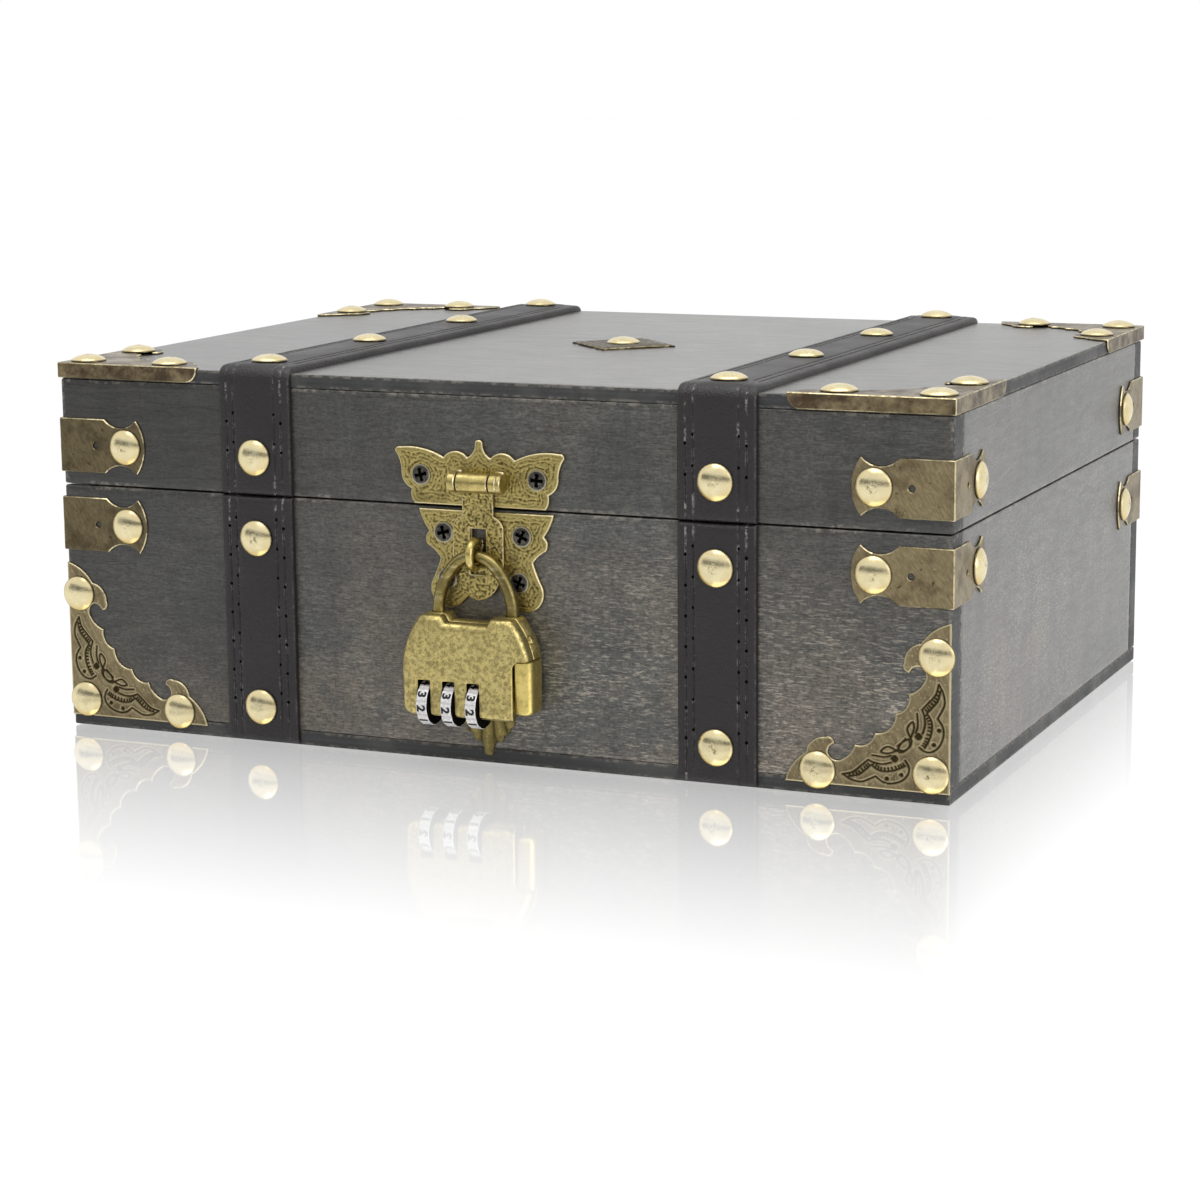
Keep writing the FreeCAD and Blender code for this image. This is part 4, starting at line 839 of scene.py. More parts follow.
def set_out_tree():
    """Geometry Nodes tree that sets a template out on points, each facing its own way."""
    name = "Set Out Fasteners"
    if name in bpy.data.node_groups:
        return bpy.data.node_groups[name]
    tree = bpy.data.node_groups.new(name, "GeometryNodeTree")
    for label, kind in SET_OUT_INPUTS.items():
        tree.interface.new_socket(label, in_out="INPUT", socket_type=kind)
    tree.interface.new_socket("Geometry", in_out="OUTPUT", socket_type="NodeSocketGeometry")

    def add(kind, inputs=None, **settings):
        return add_node(tree, kind, inputs, **settings)

    def named(label):
        found = add("GeometryNodeInputNamedAttribute", {"Name": label}, data_type="FLOAT_VECTOR")
        return found.outputs["Attribute"]

    def drawn(least, most):
        inputs = {2: least, 3: most, "Seed": given["Seed"]}
        return add("FunctionNodeRandomValue", inputs, data_type="FLOAT").outputs[1]

    given = add("NodeGroupInput").outputs
    template = add("GeometryNodeObjectInfo", {"Object": given["Template"], "As Instance": True})
    stand = add("FunctionNodeAlignRotationToVector", {"Vector": named("facing")}, axis="Z")
    inputs = {"Rotation": stand, "Vector": named("heading")}
    point = add("FunctionNodeAlignRotationToVector", inputs, axis="X", pivot_axis="Z")
    least = add("ShaderNodeMath", {0: given["Turn Spread"], 1: -1.0}, operation="MULTIPLY")
    angles = add("ShaderNodeCombineXYZ", {"Z": drawn(least, given["Turn Spread"])})
    inputs = {"Rotation": point, "Rotate By": add("FunctionNodeEulerToRotation", {0: angles})}
    turned = add("FunctionNodeRotateRotation", inputs, rotation_space="LOCAL")
    smallest = add("ShaderNodeMath", {0: 1.0, 1: given["Size Spread"]}, operation="SUBTRACT")
    placed = add("GeometryNodeInstanceOnPoints", {
        "Points": given["Geometry"],
        "Instance": template.outputs["Geometry"],
        "Rotation": turned,
        "Scale": drawn(smallest, 1.0),
    })
    real = add("GeometryNodeRealizeInstances", {"Geometry": placed})
    dressed = add("GeometryNodeSetMaterial", {"Geometry": real, "Material": given["Finish"]})
    add("NodeGroupOutput", {"Geometry": dressed})
    return tree


def set_out(name, template, places, dress, size_spread=0.0, turn_spread=0.0):
    """One plain mesh of a template set out on places: point, facing and heading."""
    look = bpy.context.scene.chest_brass
    mesh = bpy.data.meshes.new(name)
    mesh.from_pydata([tuple(place[0]) for place in places], [], [])
    for label, part in (("facing", 1), ("heading", 2)):
        layer = mesh.attributes.new(label, "FLOAT_VECTOR", "POINT")
        layer.data.foreach_set("vector", [value for place in places for value in place[part]])
    piece = linked(name, mesh)
    tree = set_out_tree()
    modifier = piece.modifiers.new("Set Out", "NODES")
    modifier.node_group = tree
    values = {
        "Template": template,
        "Size Spread": size_spread,
        "Turn Spread": turn_spread,
        "Seed": look.seed,
        "Finish": finish(dress),
    }
    for socket in tree.interface.items_tree:
        if socket.in_out == "INPUT" and socket.name in values:
            modifier[socket.identifier] = values[socket.name]
    made_plain(piece)
    if not piece.data.polygons:
        raise RuntimeError(f"{name} has no faces")
    piece.data.set_sharp_from_angle(angle=SHARP)
    return piece


def put_away(template):
    mesh = template.data
    bpy.data.objects.remove(template)
    bpy.data.meshes.remove(mesh)


def lathe(line, turns, mark):
    """A closed bmesh turned round Z from (radius, height) points; mark names a share from rim to middle."""
    form = bmesh.new()
    layer = form.verts.layers.float.new(mark)
    widest = max(radius for radius, _ in line)
    rings = []
    for radius, height in line:
        if radius < TINY:
            vert = form.verts.new((0, 0, height))
            vert[layer] = 1.0
            rings.append([vert] * turns)
            continue
        ring = []
        for turn in range(turns):
            angle = math.tau * turn / turns
            vert = form.verts.new((radius * math.cos(angle), radius * math.sin(angle), height))
            vert[layer] = 1.0 - radius / widest
            ring.append(vert)
        rings.append(ring)
    bridged(form, rings)
    form.faces.new(rings[0][::-1])
    return form


# Plates with relief


def facing_loops(node, normal):
    """Flat faces of a CAD node along a normal, largest first: area, distance along it, loops of corners."""
    form = node_form(node)
    form.normal_update()
    planes = {}
    for face in form.faces:
        if face.normal.dot(normal) > FACING:
            key = round(face.calc_center_median().dot(normal) / MM, 1)
            planes.setdefault(key, []).append(face)
    found = []
    for key, faces in planes.items():
        area = sum(face.calc_area() for face in faces)
        members = set(faces)
        follow = {}
        for face in faces:
            for loop in face.loops:
                linked = [other for other in loop.edge.link_faces if other in members]
                if len(linked) == 1:
                    follow.setdefault(loop.vert, []).append(loop.link_loop_next.vert)
        loops = []
        while follow:
            start = next(iter(follow))
            line = [start]
            while True:
                nexts = follow[line[-1]]
                vert = nexts.pop()
                if not nexts:
                    del follow[line[-1]]
                if vert is start:
                    break
                line.append(vert)
            loops.append([vert.co.copy() for vert in line])
        found.append((area, key * MM, loops))
    form.free()
    return sorted(found, key=lambda item: -item[0])


def flat_axes(normal):
    """Two directions in a face such that first x second is its normal."""
    first = RIGHT if abs(normal.x) < 0.9 else UP
    return first, normal.cross(first)


def divided(loop, step):
    """A closed 2-D outline with points no further apart than a step."""
    points = []
    for start, end in zip(loop, loop[1:] + loop[:1]):
        parts = max(1, math.ceil((end - start).length / step))
        points.extend(start.lerp(end, part / parts) for part in range(parts))
    return points


def segment_distances(points, starts, ends):
    """Distance from each point to the nearest of the segments."""
    nearest = np.full(len(points), np.inf)
    for start, end in zip(starts, ends):
        run = end - start
        share = np.clip(((points - start) @ run) / max(run @ run, TINY), 0.0, 1.0)
        gap = points - start - share[:, None] * run
        nearest = np.minimum(nearest, np.hypot(gap[:, 0], gap[:, 1]))
    return nearest


def inside(points, starts, ends):
    """Whether each point is inside the outlines made by the segments."""
    odd = np.zeros(len(points), bool)
    for start, end in zip(starts, ends):
        if abs(end[1] - start[1]) < TINY:
            continue
        crosses = (start[1] > points[:, 1]) != (end[1] > points[:, 1])
        place = (end[0] - start[0]) * (points[:, 1] - start[1]) / (end[1] - start[1]) + start[0]
        odd ^= crosses & (points[:, 0] < place)
    return odd


def relief_form(loops, normal, level, step, depth, carve):
    """A closed plate with a finely divided face.

    carve gives height, relief, rim and ink for points and their distances from the outline.
    A depth of zero closes the plate at its outline, as a skin over a solid."""
    first, second = flat_axes(normal)
    outlines = []
    for loop in loops:
        flat = [Vector((corner.dot(first), corner.dot(second))) for corner in loop]
        outlines.append(divided(flat, step * BORDER_STEP))
    border = [point for outline in outlines for point in outline]
    edges = []
    count = 0
    for outline in outlines:
        size = len(outline)
        edges.extend((count + place, count + (place + 1) % size) for place in range(size))
        count += size
    corners = np.array([tuple(point) for point in border])
    starts = corners[[edge[0] for edge in edges]]
    ends = corners[[edge[1] for edge in edges]]
    low = corners.min(0)
    high = corners.max(0)
    rows = int((high[1] - low[1]) / (step * ROW_STEP)) + 1
    columns = int((high[0] - low[0]) / step) + 1
    grid = np.array([
        (low[0] + step * (column + 0.5 * (row % 2)), low[1] + step * ROW_STEP * row)
        for row in range(rows) for column in range(columns)])
    grid = grid[inside(grid, starts, ends)]
    grid = grid[segment_distances(grid, starts, ends) > step * BORDER_GAP]
    scaled = [Vector(point) / MM for point in np.vstack([corners, grid])]
    points, _, faces, *_ = geometry.delaunay_2d_cdt(scaled, edges, [], 0, 1e-4)
    points = np.array([tuple(point) for point in points]) * MM
    faces = np.array([list(face) for face in faces])
    faces = faces[inside(points[faces].mean(1), starts, ends)]
    distance = segment_distances(points, starts, ends)
    height, relief, rim, ink = carve(points, distance)
    form = bmesh.new()
    layers = [form.verts.layers.float.new(mark) for mark in RELIEF_MARKS]
    upper = []
    lower = []
    on_edge = distance < step * ON_BORDER
    for place, point in enumerate(points):
        spot = first * point[0] + second * point[1] + normal * level
        vert = form.verts.new(spot + normal * height[place])
        for layer, values in zip(layers, (relief, rim, ink)):
            vert[layer] = values[place]
        upper.append(vert)
        if on_edge[place] and depth < TINY:
            lower.append(vert)
        else:
            lower.append(form.verts.new(spot - normal * (depth or SKIN_DEPTH)))
    for face in faces:
        form.faces.new([upper[corner] for corner in face])
        if any(lower[corner] is not upper[corner] for corner in face):
            form.faces.new([lower[corner] for corner in reversed(face)])
    if depth > TINY:
        runs = dict.fromkeys(run for face in faces for run in zip(face, np.roll(face, -1)))
        for start, end in runs:
            if (end, start) not in runs:
                form.faces.new([upper[end], upper[start], lower[start], lower[end]])
    loose = [vert for vert in form.verts if not vert.link_faces]
    bmesh.ops.delete(form, geom=loose, context="VERTS")
    outward(form)
    return form


def relief_plate(node, body, label, dress, normal, step, carve, smooth):
    """A CAD plate whose outer face is cut as relief."""
    low, high = (corner.dot(normal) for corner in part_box(node))
    _, _, loops = facing_loops(node, normal)[0]
    form = relief_form([max(loops, key=len)], normal, max(low, high), step, abs(high - low), carve)
    settle(piece_from(form, f"{node}_{label}", (dress,), smooth), body, "antique_brass", node)


def smooth_line(corners, parts=8):
    """A rounded line through 2-D points."""
    points = [Vector(corner) for corner in corners]
    ends = [points[0] * 2 - points[1]] + points + [points[-1] * 2 - points[-2]]
    line = []
    for before, start, end, after in zip(ends, ends[1:], ends[2:], ends[3:]):
        for part in range(parts):
            share = part / parts
            line.append(0.5 * (
                2 * start + (end - before) * share
                + (2 * before - 5 * start + 4 * end - after) * share ** 2
                + (3 * start - before - 3 * end + after) * share ** 3))
    return line + [points[-1]]


def ripple(points, pitch, shift=0.0):
    """Soft noise over 2-D points, about -1 to 1, with waves of a given pitch."""
    return np.array([noise.noise(Vector((point[0] / pitch, point[1] / pitch, shift))) for point in points])


def unit(values):
    """Values kept between nought and one."""
    return np.clip(values, 0.0, 1.0)


def rounded_edge(distance, width, drop):
    """Height that falls away towards an outline."""
    return -drop * unit(1.0 - distance / width) ** 2


# Operators


class ChestStep:
    """An operator that builds pieces with the settings it names."""

    settings = "chest_brass"

    def execute(self, context):
        self.build(getattr(context.scene, self.settings))
        return {"FINISHED"}


class CHEST_OT_boards(ChestStep, bpy.types.Operator):
    """Builds the stained boards with softened, worn edges"""

    bl_idname = "chest.boards"
    bl_label = "Boards"
    settings = "chest_wood"

    # Stops at either end of a side that belong to its rounded edge
    EDGE_STOPS = 3
    ACROSS = 0.7

    def build(self, look):
        for node, (body, axis) in BOARDS.items():
            low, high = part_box(node)
            form = self.board(low, high, look.rounding, look.wear)
            for face in form.faces:
                face.material_index = self.face_finish(node, axis, face.normal)
            piece = piece_from(form, f"{node}_board", (f"wood_{body}_{'xy'[axis]}", "wood_board_edge"))
            settle(piece, body, "stained_wood", node)

    def face_finish(self, node, axis, normal):
        """The second finish is for the cut edges: a panel's four sides and a wall's two ends."""
        if "panel" in node:
            return int(abs(normal.z) <= self.ACROSS)
        return int(abs(normal[axis]) > self.ACROSS)

    def board(self, low, high, rounding, wear):
        """A block with rounded edges and a narrow strip of faces along each of them."""
        form = bmesh.new()
        mark = form.verts.layers.float.new("wear")
        stops = []
        for axis in range(3):
            band = min(wear, (high[axis] - low[axis]) / 4)
            inner = [0.0, 0.3 * rounding, rounding, rounding + band]
            stops.append([low[axis] + stop for stop in inner]
                         + [high[axis] - stop for stop in reversed(inner)])
        last = len(stops[0]) - 1
        core_low = low + Vector((rounding,) * 3)
        core_high = high - Vector((rounding,) * 3)
        verts = {}

        def corner(place):
            if place not in verts:
                spot = Vector([stops[axis][place[axis]] for axis in range(3)])
                core = Vector([min(max(spot[axis], core_low[axis]), core_high[axis]) for axis in range(3)])
                vert = form.verts.new(core + (spot - core).normalized() * rounding)
                near = sum(min(step, last - step) < self.EDGE_STOPS for step in place)
                vert[mark] = 1.0 if near > 1 else 0.0
                verts[place] = vert
            return verts[place]

        for axis in range(3):
            first, second = (axis + 1) % 3, (axis + 2) % 3
            for end in (0, last):
                for across in range(last):
                    for down in range(last):
                        loop = []
                        for step_a, step_b in ((0, 0), (1, 0), (1, 1), (0, 1)):
                            place = [0, 0, 0]
                            place[axis], place[first], place[second] = end, across + step_a, down + step_b
                            loop.append(corner(tuple(place)))
                        form.faces.new(loop if end else loop[::-1])
        form.normal_update()
        return form


class CHEST_OT_straps(ChestStep, bpy.types.Operator):
    """Builds the creased leather straps and folds the lid's over its edges"""

    bl_idname = "chest.straps"
    bl_label = "Straps"
    settings = "chest_leather"

    FOLD_STEPS = 6
    STATION = 3 * MM
    # How full the section is, how far it wavers and how many waves a metre has
    FULL = 0.975
    WAVER = 0.02
    WAVES_ACROSS = 240
    WAVES_ALONG = 260
    BEND_SCUFF = 1.6
    END_SCUFF = 0.9

    def build(self, look):
        for side in SIDES:
            for end, facing in ENDS:
                node = f"base_{end}_strap_{side}"
                low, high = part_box(node)
                wall = high.y if facing < 0 else low.y
                path = [(Vector((0, wall, height)), Vector((0, facing, 0))) for height in (low.z, high.z)]
                self.strap(node, "base", path, low.x, high.x, high.y - low.y)
            node = f"lid_strap_{side}"
            low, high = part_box(node)
            thick = high.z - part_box("lid_top_panel")[1].z
            path = self.over_lid(low, high, thick, look.fold)
            self.strap(node, "lid", path, low.x, high.x, thick)

    def over_lid(self, low, high, thick, fold):
        """Path of a lid strap's inner face: up the front, over the top and down the back."""
        front, back = low.y + thick, high.y - thick
        turns = [math.radians(90 * part / self.FOLD_STEPS) for part in range(self.FOLD_STEPS + 1)]
        path = [(Vector((0, front, low.z)), FRONT)]
        for wall, sign, angles in ((front, -1.0, turns), (back, 1.0, turns[::-1])):
            centre = Vector((0, wall - sign * fold, high.z - thick - fold))
            for angle in angles:
                normal = Vector((0, sign * math.cos(angle), math.sin(angle)))
                path.append((centre + normal * fold, normal))
        path.append((Vector((0, back, low.z)), -FRONT))
        return path

    def strap(self, node, body, path, left, right, thick):
        """Sweeps the strap's section along a path, with rounded ends and a slight waver."""
        (head, head_normal), (tail, tail_normal) = path[0], path[-1]
        way_in = (path[1][0] - head).normalized()
        way_out = (path[-2][0] - tail).normalized()
        stations = [(head + way_in * inset * thick, head_normal, rise) for inset, rise in STRAP_END]
        for (start, normal_a), (end, normal_b) in zip(path, path[1:]):
            parts = max(1, round((end - start).length / self.STATION))
            for part in range(parts):
                spot = start.lerp(end, part / parts)
                if min((spot - head).length, (spot - tail).length) > thick:
                    stations.append((spot, normal_a.lerp(normal_b, part / parts).normalized(), 1.0))
        stations += [(tail + way_out * inset * thick, tail_normal, rise)
                     for inset, rise in reversed(STRAP_END)]
        outline = [(left + inset * thick, rise, scuff) for inset, rise, scuff in STRAP_SECTION]
        outline += [(right - inset * thick, rise, scuff)
                    for inset, rise, scuff in reversed(STRAP_SECTION)]
        form = bmesh.new()
        mark = form.verts.layers.float.new("scuff")
        rows = []
        for spot, normal, rise in stations:
            bend = 1.0 - max(abs(normal.y), abs(normal.z))
            row = []
            for x, share, scuff in outline:
                wave = (x * self.WAVES_ACROSS, spot.y * self.WAVES_ALONG, spot.z * self.WAVES_ALONG)
                full = self.FULL + self.WAVER * noise.noise(Vector(wave))
                lift = thick * max(0.0, min(share, 1.0) * rise * full)
                vert = form.verts.new(Vector((x, spot.y, spot.z)) + normal * min(lift, thick))
                vert[mark] = min(1.0, max(scuff, self.BEND_SCUFF * bend, self.END_SCUFF * (1.0 - rise)))
                row.append(vert)
            rows.append(row)
        bridged(form, rows)
        form.faces.new(rows[0])
        form.faces.new(rows[-1][::-1])
        bmesh.ops.remove_doubles(form, verts=form.verts, dist=MERGE)
        outward(form)
        settle(piece_from(form, f"{node}_leather", ("strap_leather",), SUPPLE), body, "leather", node)


class CHEST_OT_stitches(ChestStep, bpy.types.Operator):
    """Sets the stitches along the straps' creases"""

    bl_idname = "chest.stitches"
    bl_label = "Stitches"
    settings = "chest_leather"

    # Needle hole, a dark disc of painted shade: radius and height in shares of its radius
    HOLE_LINE = ((1.0, -0.5), (1.0, 0.30), (0.0, 0.34))
    HOLE_TURNS = 10
    # Thread: place in shares of the pitch, height and thickness in shares of the thread's
    THREAD_LINE = (
        (-0.47, -0.8, 0.7),
        (-0.44, -0.2, 1.0),
        (-0.30, 0.12, 1.0),
        (0.0, 0.22, 0.92),
        (0.30, 0.12, 1.0),
        (0.44, -0.2, 1.0),
        (0.47, -0.8, 0.7),
    )
    THREAD_TURNS = 6
    # In shares of the pitch: what a run leaves free, and the shift of all its stitches
    FREE = 0.8
    SHIFT = -0.3
    # Room at the lid's folds, in thicknesses of the strap
    FOLD_ROOM = 3

    def build(self, look):
        thread = self.stitch(look.pitch, look.thread)
        line = [(radius * look.hole, height * look.hole) for radius, height in self.HOLE_LINE]
        hole_shade_template = piece_from(lathe(line, self.HOLE_TURNS, "crown"), "hole_template", ("needle_hole",))
        kinds = (("stitches", thread, "strap_thread", 0.0), ("needle_holes", hole_shade_template, "needle_hole", 0.5))
        for body, rows in (("base", self.base_rows()), ("lid", self.lid_rows())):
            for label, template, dress, shift in kinds:
                places = [place for row in rows for place in self.places(*row, look.pitch, shift)]
                settle(set_out(f"{body}_strap_{label}", template, places, dress), body, "leather")
        put_away(thread)
        put_away(hole_shade_template)

    @staticmethod
    def base_rows():
        """Runs of the base's straps: corners, wall, facing, way along and thickness."""
        found = []
        for side in SIDES:
            for end, facing in ENDS:
                low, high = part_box(f"base_{end}_strap_{side}")
                wall = high.y if facing < 0 else low.y
                found.append((low, high, Vector((0, wall, 0)), Vector((0, facing, 0)), 2, high.y - low.y))
        return found

    def lid_rows(self):
        """Runs of the lid's straps, clear of their folds."""
        found = []
        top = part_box("lid_top_panel")[1].z
        for side in SIDES:
            low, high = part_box(f"lid_strap_{side}")
            thick = high.z - top
            room = self.FOLD_ROOM * thick
            upright = high - Vector((0, 0, room))
            for wall, facing in ((low.y + thick, -1.0), (high.y - thick, 1.0)):
                found.append((low, upright, Vector((0, wall, 0)), Vector((0, facing, 0)), 2, thick))
            ends = Vector((0, room, 0))
            found.append((low + ends, high - ends, Vector((0, 0, top)), UP, 1, thick))
        return found

    def places(self, low, high, wall, facing, axis, thick, pitch, shift):
        """Places along a run's creases, a pitch apart; shift moves them by a share of the pitch."""
        heading = Vector([float(place == axis) for place in range(3)])
        count = int((high[axis] - low[axis] - self.FREE * pitch) / pitch)
        first = (low[axis] + high[axis] - (count - 1) * pitch) / 2
        found = []
        for inset, rise, stagger in CREASES:
            for x in (low.x + inset * thick, high.x - inset * thick):
                for step in range(count):
                    spot = wall + facing * thick * rise
                    spot.x = x
                    spot[axis] = first + (step + shift + stagger + self.SHIFT) * pitch
                    found.append((spot, facing, heading))
        return found

    def stitch(self, pitch, thread):
        """One run of thread between two needle holes, bowed up in the middle."""
        form = bmesh.new()
        rings = []
        for share, rise, width in self.THREAD_LINE:
            radius = 0.5 * thread * width
            ring = []
            for turn in range(self.THREAD_TURNS):
                angle = math.tau * turn / self.THREAD_TURNS
                spot = (share * pitch, radius * math.cos(angle), thread * rise + radius * math.sin(angle))
                ring.append(form.verts.new(spot))
            rings.append(ring)
        bridged(form, rings)
        form.faces.new(rings[0][::-1])
        form.faces.new(rings[-1])
        outward(form)
        return piece_from(form, "stitch_template", ("strap_thread",), math.pi)


class CHEST_OT_tacks(ChestStep, bpy.types.Operator):
    """Sets the dome tacks where the CAD tacks are"""

    bl_idname = "chest.tacks"
    bl_label = "Dome Tacks"

    GROUPS = {
        "base": ("base_strap_tacks", "base_corner_strap_tacks", "ornate_plate_tacks"),
        "lid": ("lid_strap_tacks", "lid_corner_strap_tacks", "lid_cover_tacks", "diamond_tack"),
    }
    TURNS = 28

    def build(self, look):
        low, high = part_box("diamond_tack")
        width = high.x - low.x
        rise = high.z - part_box("diamond_plate")[1].z
        line = [(radius * width / 2, height * rise) for radius, height in TACK_LINE]
        template = piece_from(lathe(line, self.TURNS, "crown"), "tack_template", ("tack_brass",), SUPPLE)
        for body, nodes in self.GROUPS.items():
            places = [(outer - facing * rise, facing, flat_axes(facing)[0])
                      for outer, facing in outward_places(nodes, width)]
            piece = set_out(f"{body}_dome_tacks", template, places, "tack_brass", look.spread, math.pi)
            # How far each point faces down, for the tacks' painted warm reflection below
            falls = piece.data.attributes.new("fall", "FLOAT", "POINT")
            falls.data.foreach_set("value", [max(0.0, -vert.normal.z) for vert in piece.data.vertices])
            settle(piece, body, "tack_brass", *nodes)
        put_away(template)


class CHEST_OT_screws(ChestStep, bpy.types.Operator):
    """Sets the cross-recessed screws of the hasp and hinges"""

    bl_idname = "chest.screws"
    bl_label = "Screws"

    GROUPS = {
        "base": ("hasp_lower_screws", "hinge_base_screws"),
        "lid": ("hasp_upper_screws", "hinge_lid_screws"),
    }
    CELLS = 36
    TURN = 0.5
    # In shares of the head's radius: length, half width and depth of the cross, fall of the dome,
    # foot of the side
    ARM, HALF, SUNK, DOME, FOOT = 0.62, 0.16, 0.12, 0.12, -0.6

    def build(self, _):
        low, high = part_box("hasp_upper_screws")
        width = high.z - low.z
        template = self.head(width / 2)
        for body, nodes in self.GROUPS.items():
            places = [(outer, facing, RIGHT) for outer, facing in outward_places(nodes, width)]
            piece = set_out(f"{body}_cross_screws", template, places, "screw_steel", 0.0, self.TURN)
            settle(piece, body, "screw_steel", *nodes)
        put_away(template)

    def head(self, radius):
        """A low domed head whose middle is sunk in the shape of a cross; its top is at height zero."""
        form = bmesh.new()
        mark = form.verts.layers.float.new("recess")
        ring = form.verts.layers.float.new("ring")
        grid = {}
        for row in range(self.CELLS + 1):
            for column in range(self.CELLS + 1):
                u = 2.0 * column / self.CELLS - 1.0
                v = 2.0 * row / self.CELLS - 1.0
                x = u * math.sqrt(1 - v * v / 2)
                y = v * math.sqrt(1 - u * u / 2)
                cross = min(abs(x), abs(y)) < self.HALF and max(abs(x), abs(y)) < self.ARM
                height = -self.DOME * (x * x + y * y) - (self.SUNK if cross else 0.0)
                vert = form.verts.new((x * radius, y * radius, height * radius))
                vert[mark] = 1.0 if cross else 0.0
                vert[ring] = math.hypot(x, y)
                grid[row, column] = vert
        for row in range(self.CELLS):
            for column in range(self.CELLS):
                steps = ((0, 0), (0, 1), (1, 1), (1, 0))
                form.faces.new([grid[row + down, column + across] for down, across in steps])
        rim = [edge for edge in form.edges if edge.is_boundary]
        made = bmesh.ops.extrude_edge_only(form, edges=rim)["geom"]
        for vert in (item for item in made if isinstance(item, bmesh.types.BMVert)):
            vert.co.z = self.FOOT * radius
            vert[mark] = 0.0
        bottom = [edge for edge in form.edges if edge.is_boundary]
        bmesh.ops.contextual_create(form, geom=bottom)
        outward(form)
        return piece_from(form, "screw_template", ("screw_steel",))


class CHEST_OT_corner_fittings(ChestStep, bpy.types.Operator):
    """Dresses the folded corner straps and corner covers"""

    bl_idname = "chest.corner_fittings"
    bl_label = "Corner Fittings"

    def build(self, _):
        for corner in CORNERS:
            for body in ("base", "lid"):
                node = f"{body}_corner_strap_{corner}"
                piece = edged_piece(node, "brass", ("sheet_brass", "bright_rim"))
                self.dull_holes(piece, small_holes(node))
                settle(piece, body, "antique_brass", node)
            node = f"lid_corner_cover_{corner}"
            piece = edged_piece(node, "brass", ("cover_brass", "bright_rim"), small_holes(node))
            settle(piece, "lid", "antique_brass", node)

    @staticmethod
    def dull_holes(piece, holes):
        """Leaves the edges of the small nail holes in the sheet's own finish."""
        for face in piece.data.polygons:
            if any((face.center - middle).length < SMALL_HOLE for middle, _, _ in holes):
                face.material_index = 0


class CHEST_OT_ornate_plates(ChestStep, bpy.types.Operator):
    """Engraves the ornate corner plates"""

    bl_idname = "chest.ornate_plates"
    bl_label = "Ornate Plates"

    FINENESS = 0.85
    # Lines: their depth, a dot's radius, and a hatch's length in shares of a leg
    CUT = 0.20 * MM
    DOT = 0.35 * MM
    HATCH = 0.020
    # Raised borders beside the lines, with a painted highlight: height, distance from the line and half width
    SWELL = 0.10 * MM
    SWELL_AWAY = 0.62 * MM
    SWELL_HALF = 0.34 * MM
    # Outline: width and drop of its rounding, and width of its bright rim
    EDGE = 0.35 * MM
    DROP = 0.22 * MM
    RIM = 0.6 * MM

    def build(self, look):
        for side, sign in (("left", -1.0), ("right", 1.0)):
            node = f"ornate_corner_plate_{side}"
            low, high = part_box(node)
            corner = Vector((high.x if sign > 0 else low.x, low.z))
            starts, ends, dots = self.lines(corner, sign, high.x - low.x, high.z - low.z)

            def carve(points, distance):
                gap = segment_distances(points, starts, ends)
                for dot in dots:
                    gap = np.minimum(gap, np.hypot(points[:, 0] - dot[0], points[:, 1] - dot[1]) - self.DOT)
                ink = unit(1.4 - 0.8 * gap / (look.engraving / 2))
                swell = unit(1.2 - np.abs(gap - self.SWELL_AWAY) / self.SWELL_HALF)
                height = rounded_edge(distance, self.EDGE, self.DROP) - self.CUT * ink + self.SWELL * swell
                rim = unit(1.4 - distance / self.RIM)
                # The rim mark also paints a highlight along the raised borders
                return height, ink, np.maximum(rim, 0.72 * swell), ink

            step = self.FINENESS * look.detail
            relief_plate(node, "base", "engraved", "engraved_brass", FRONT, step, carve, ENGRAVED)

    def lines(self, corner, sign, wide, tall):
        """Segments of both legs' engraving in the plate's own plane, with hatching, and its dots."""
        starts = []
        ends = []
        dots = []
        for way in (1, -1):

            def placed(point):
                along_x, along_z = tuple(point)[::way]
                return np.array((corner.x - sign * along_x * wide, corner.y + along_z * tall))

            for number, line in enumerate(ENGRAVED_LINES):
                smooth = smooth_line(line)
                spots = [placed(point) for point in smooth]
                starts += spots[:-1]
                ends += spots[1:]
                if number in ENGRAVED_HATCHES:
                    for before, after in zip(smooth[1::3], smooth[2::3]):
                        across = Vector((before.y - after.y, after.x - before.x)).normalized() * self.HATCH
                        starts.append(placed(before))
                        ends.append(placed(before - across))
            dots += [placed(point) for point in ENGRAVED_DOTS]
        return starts, ends, dots


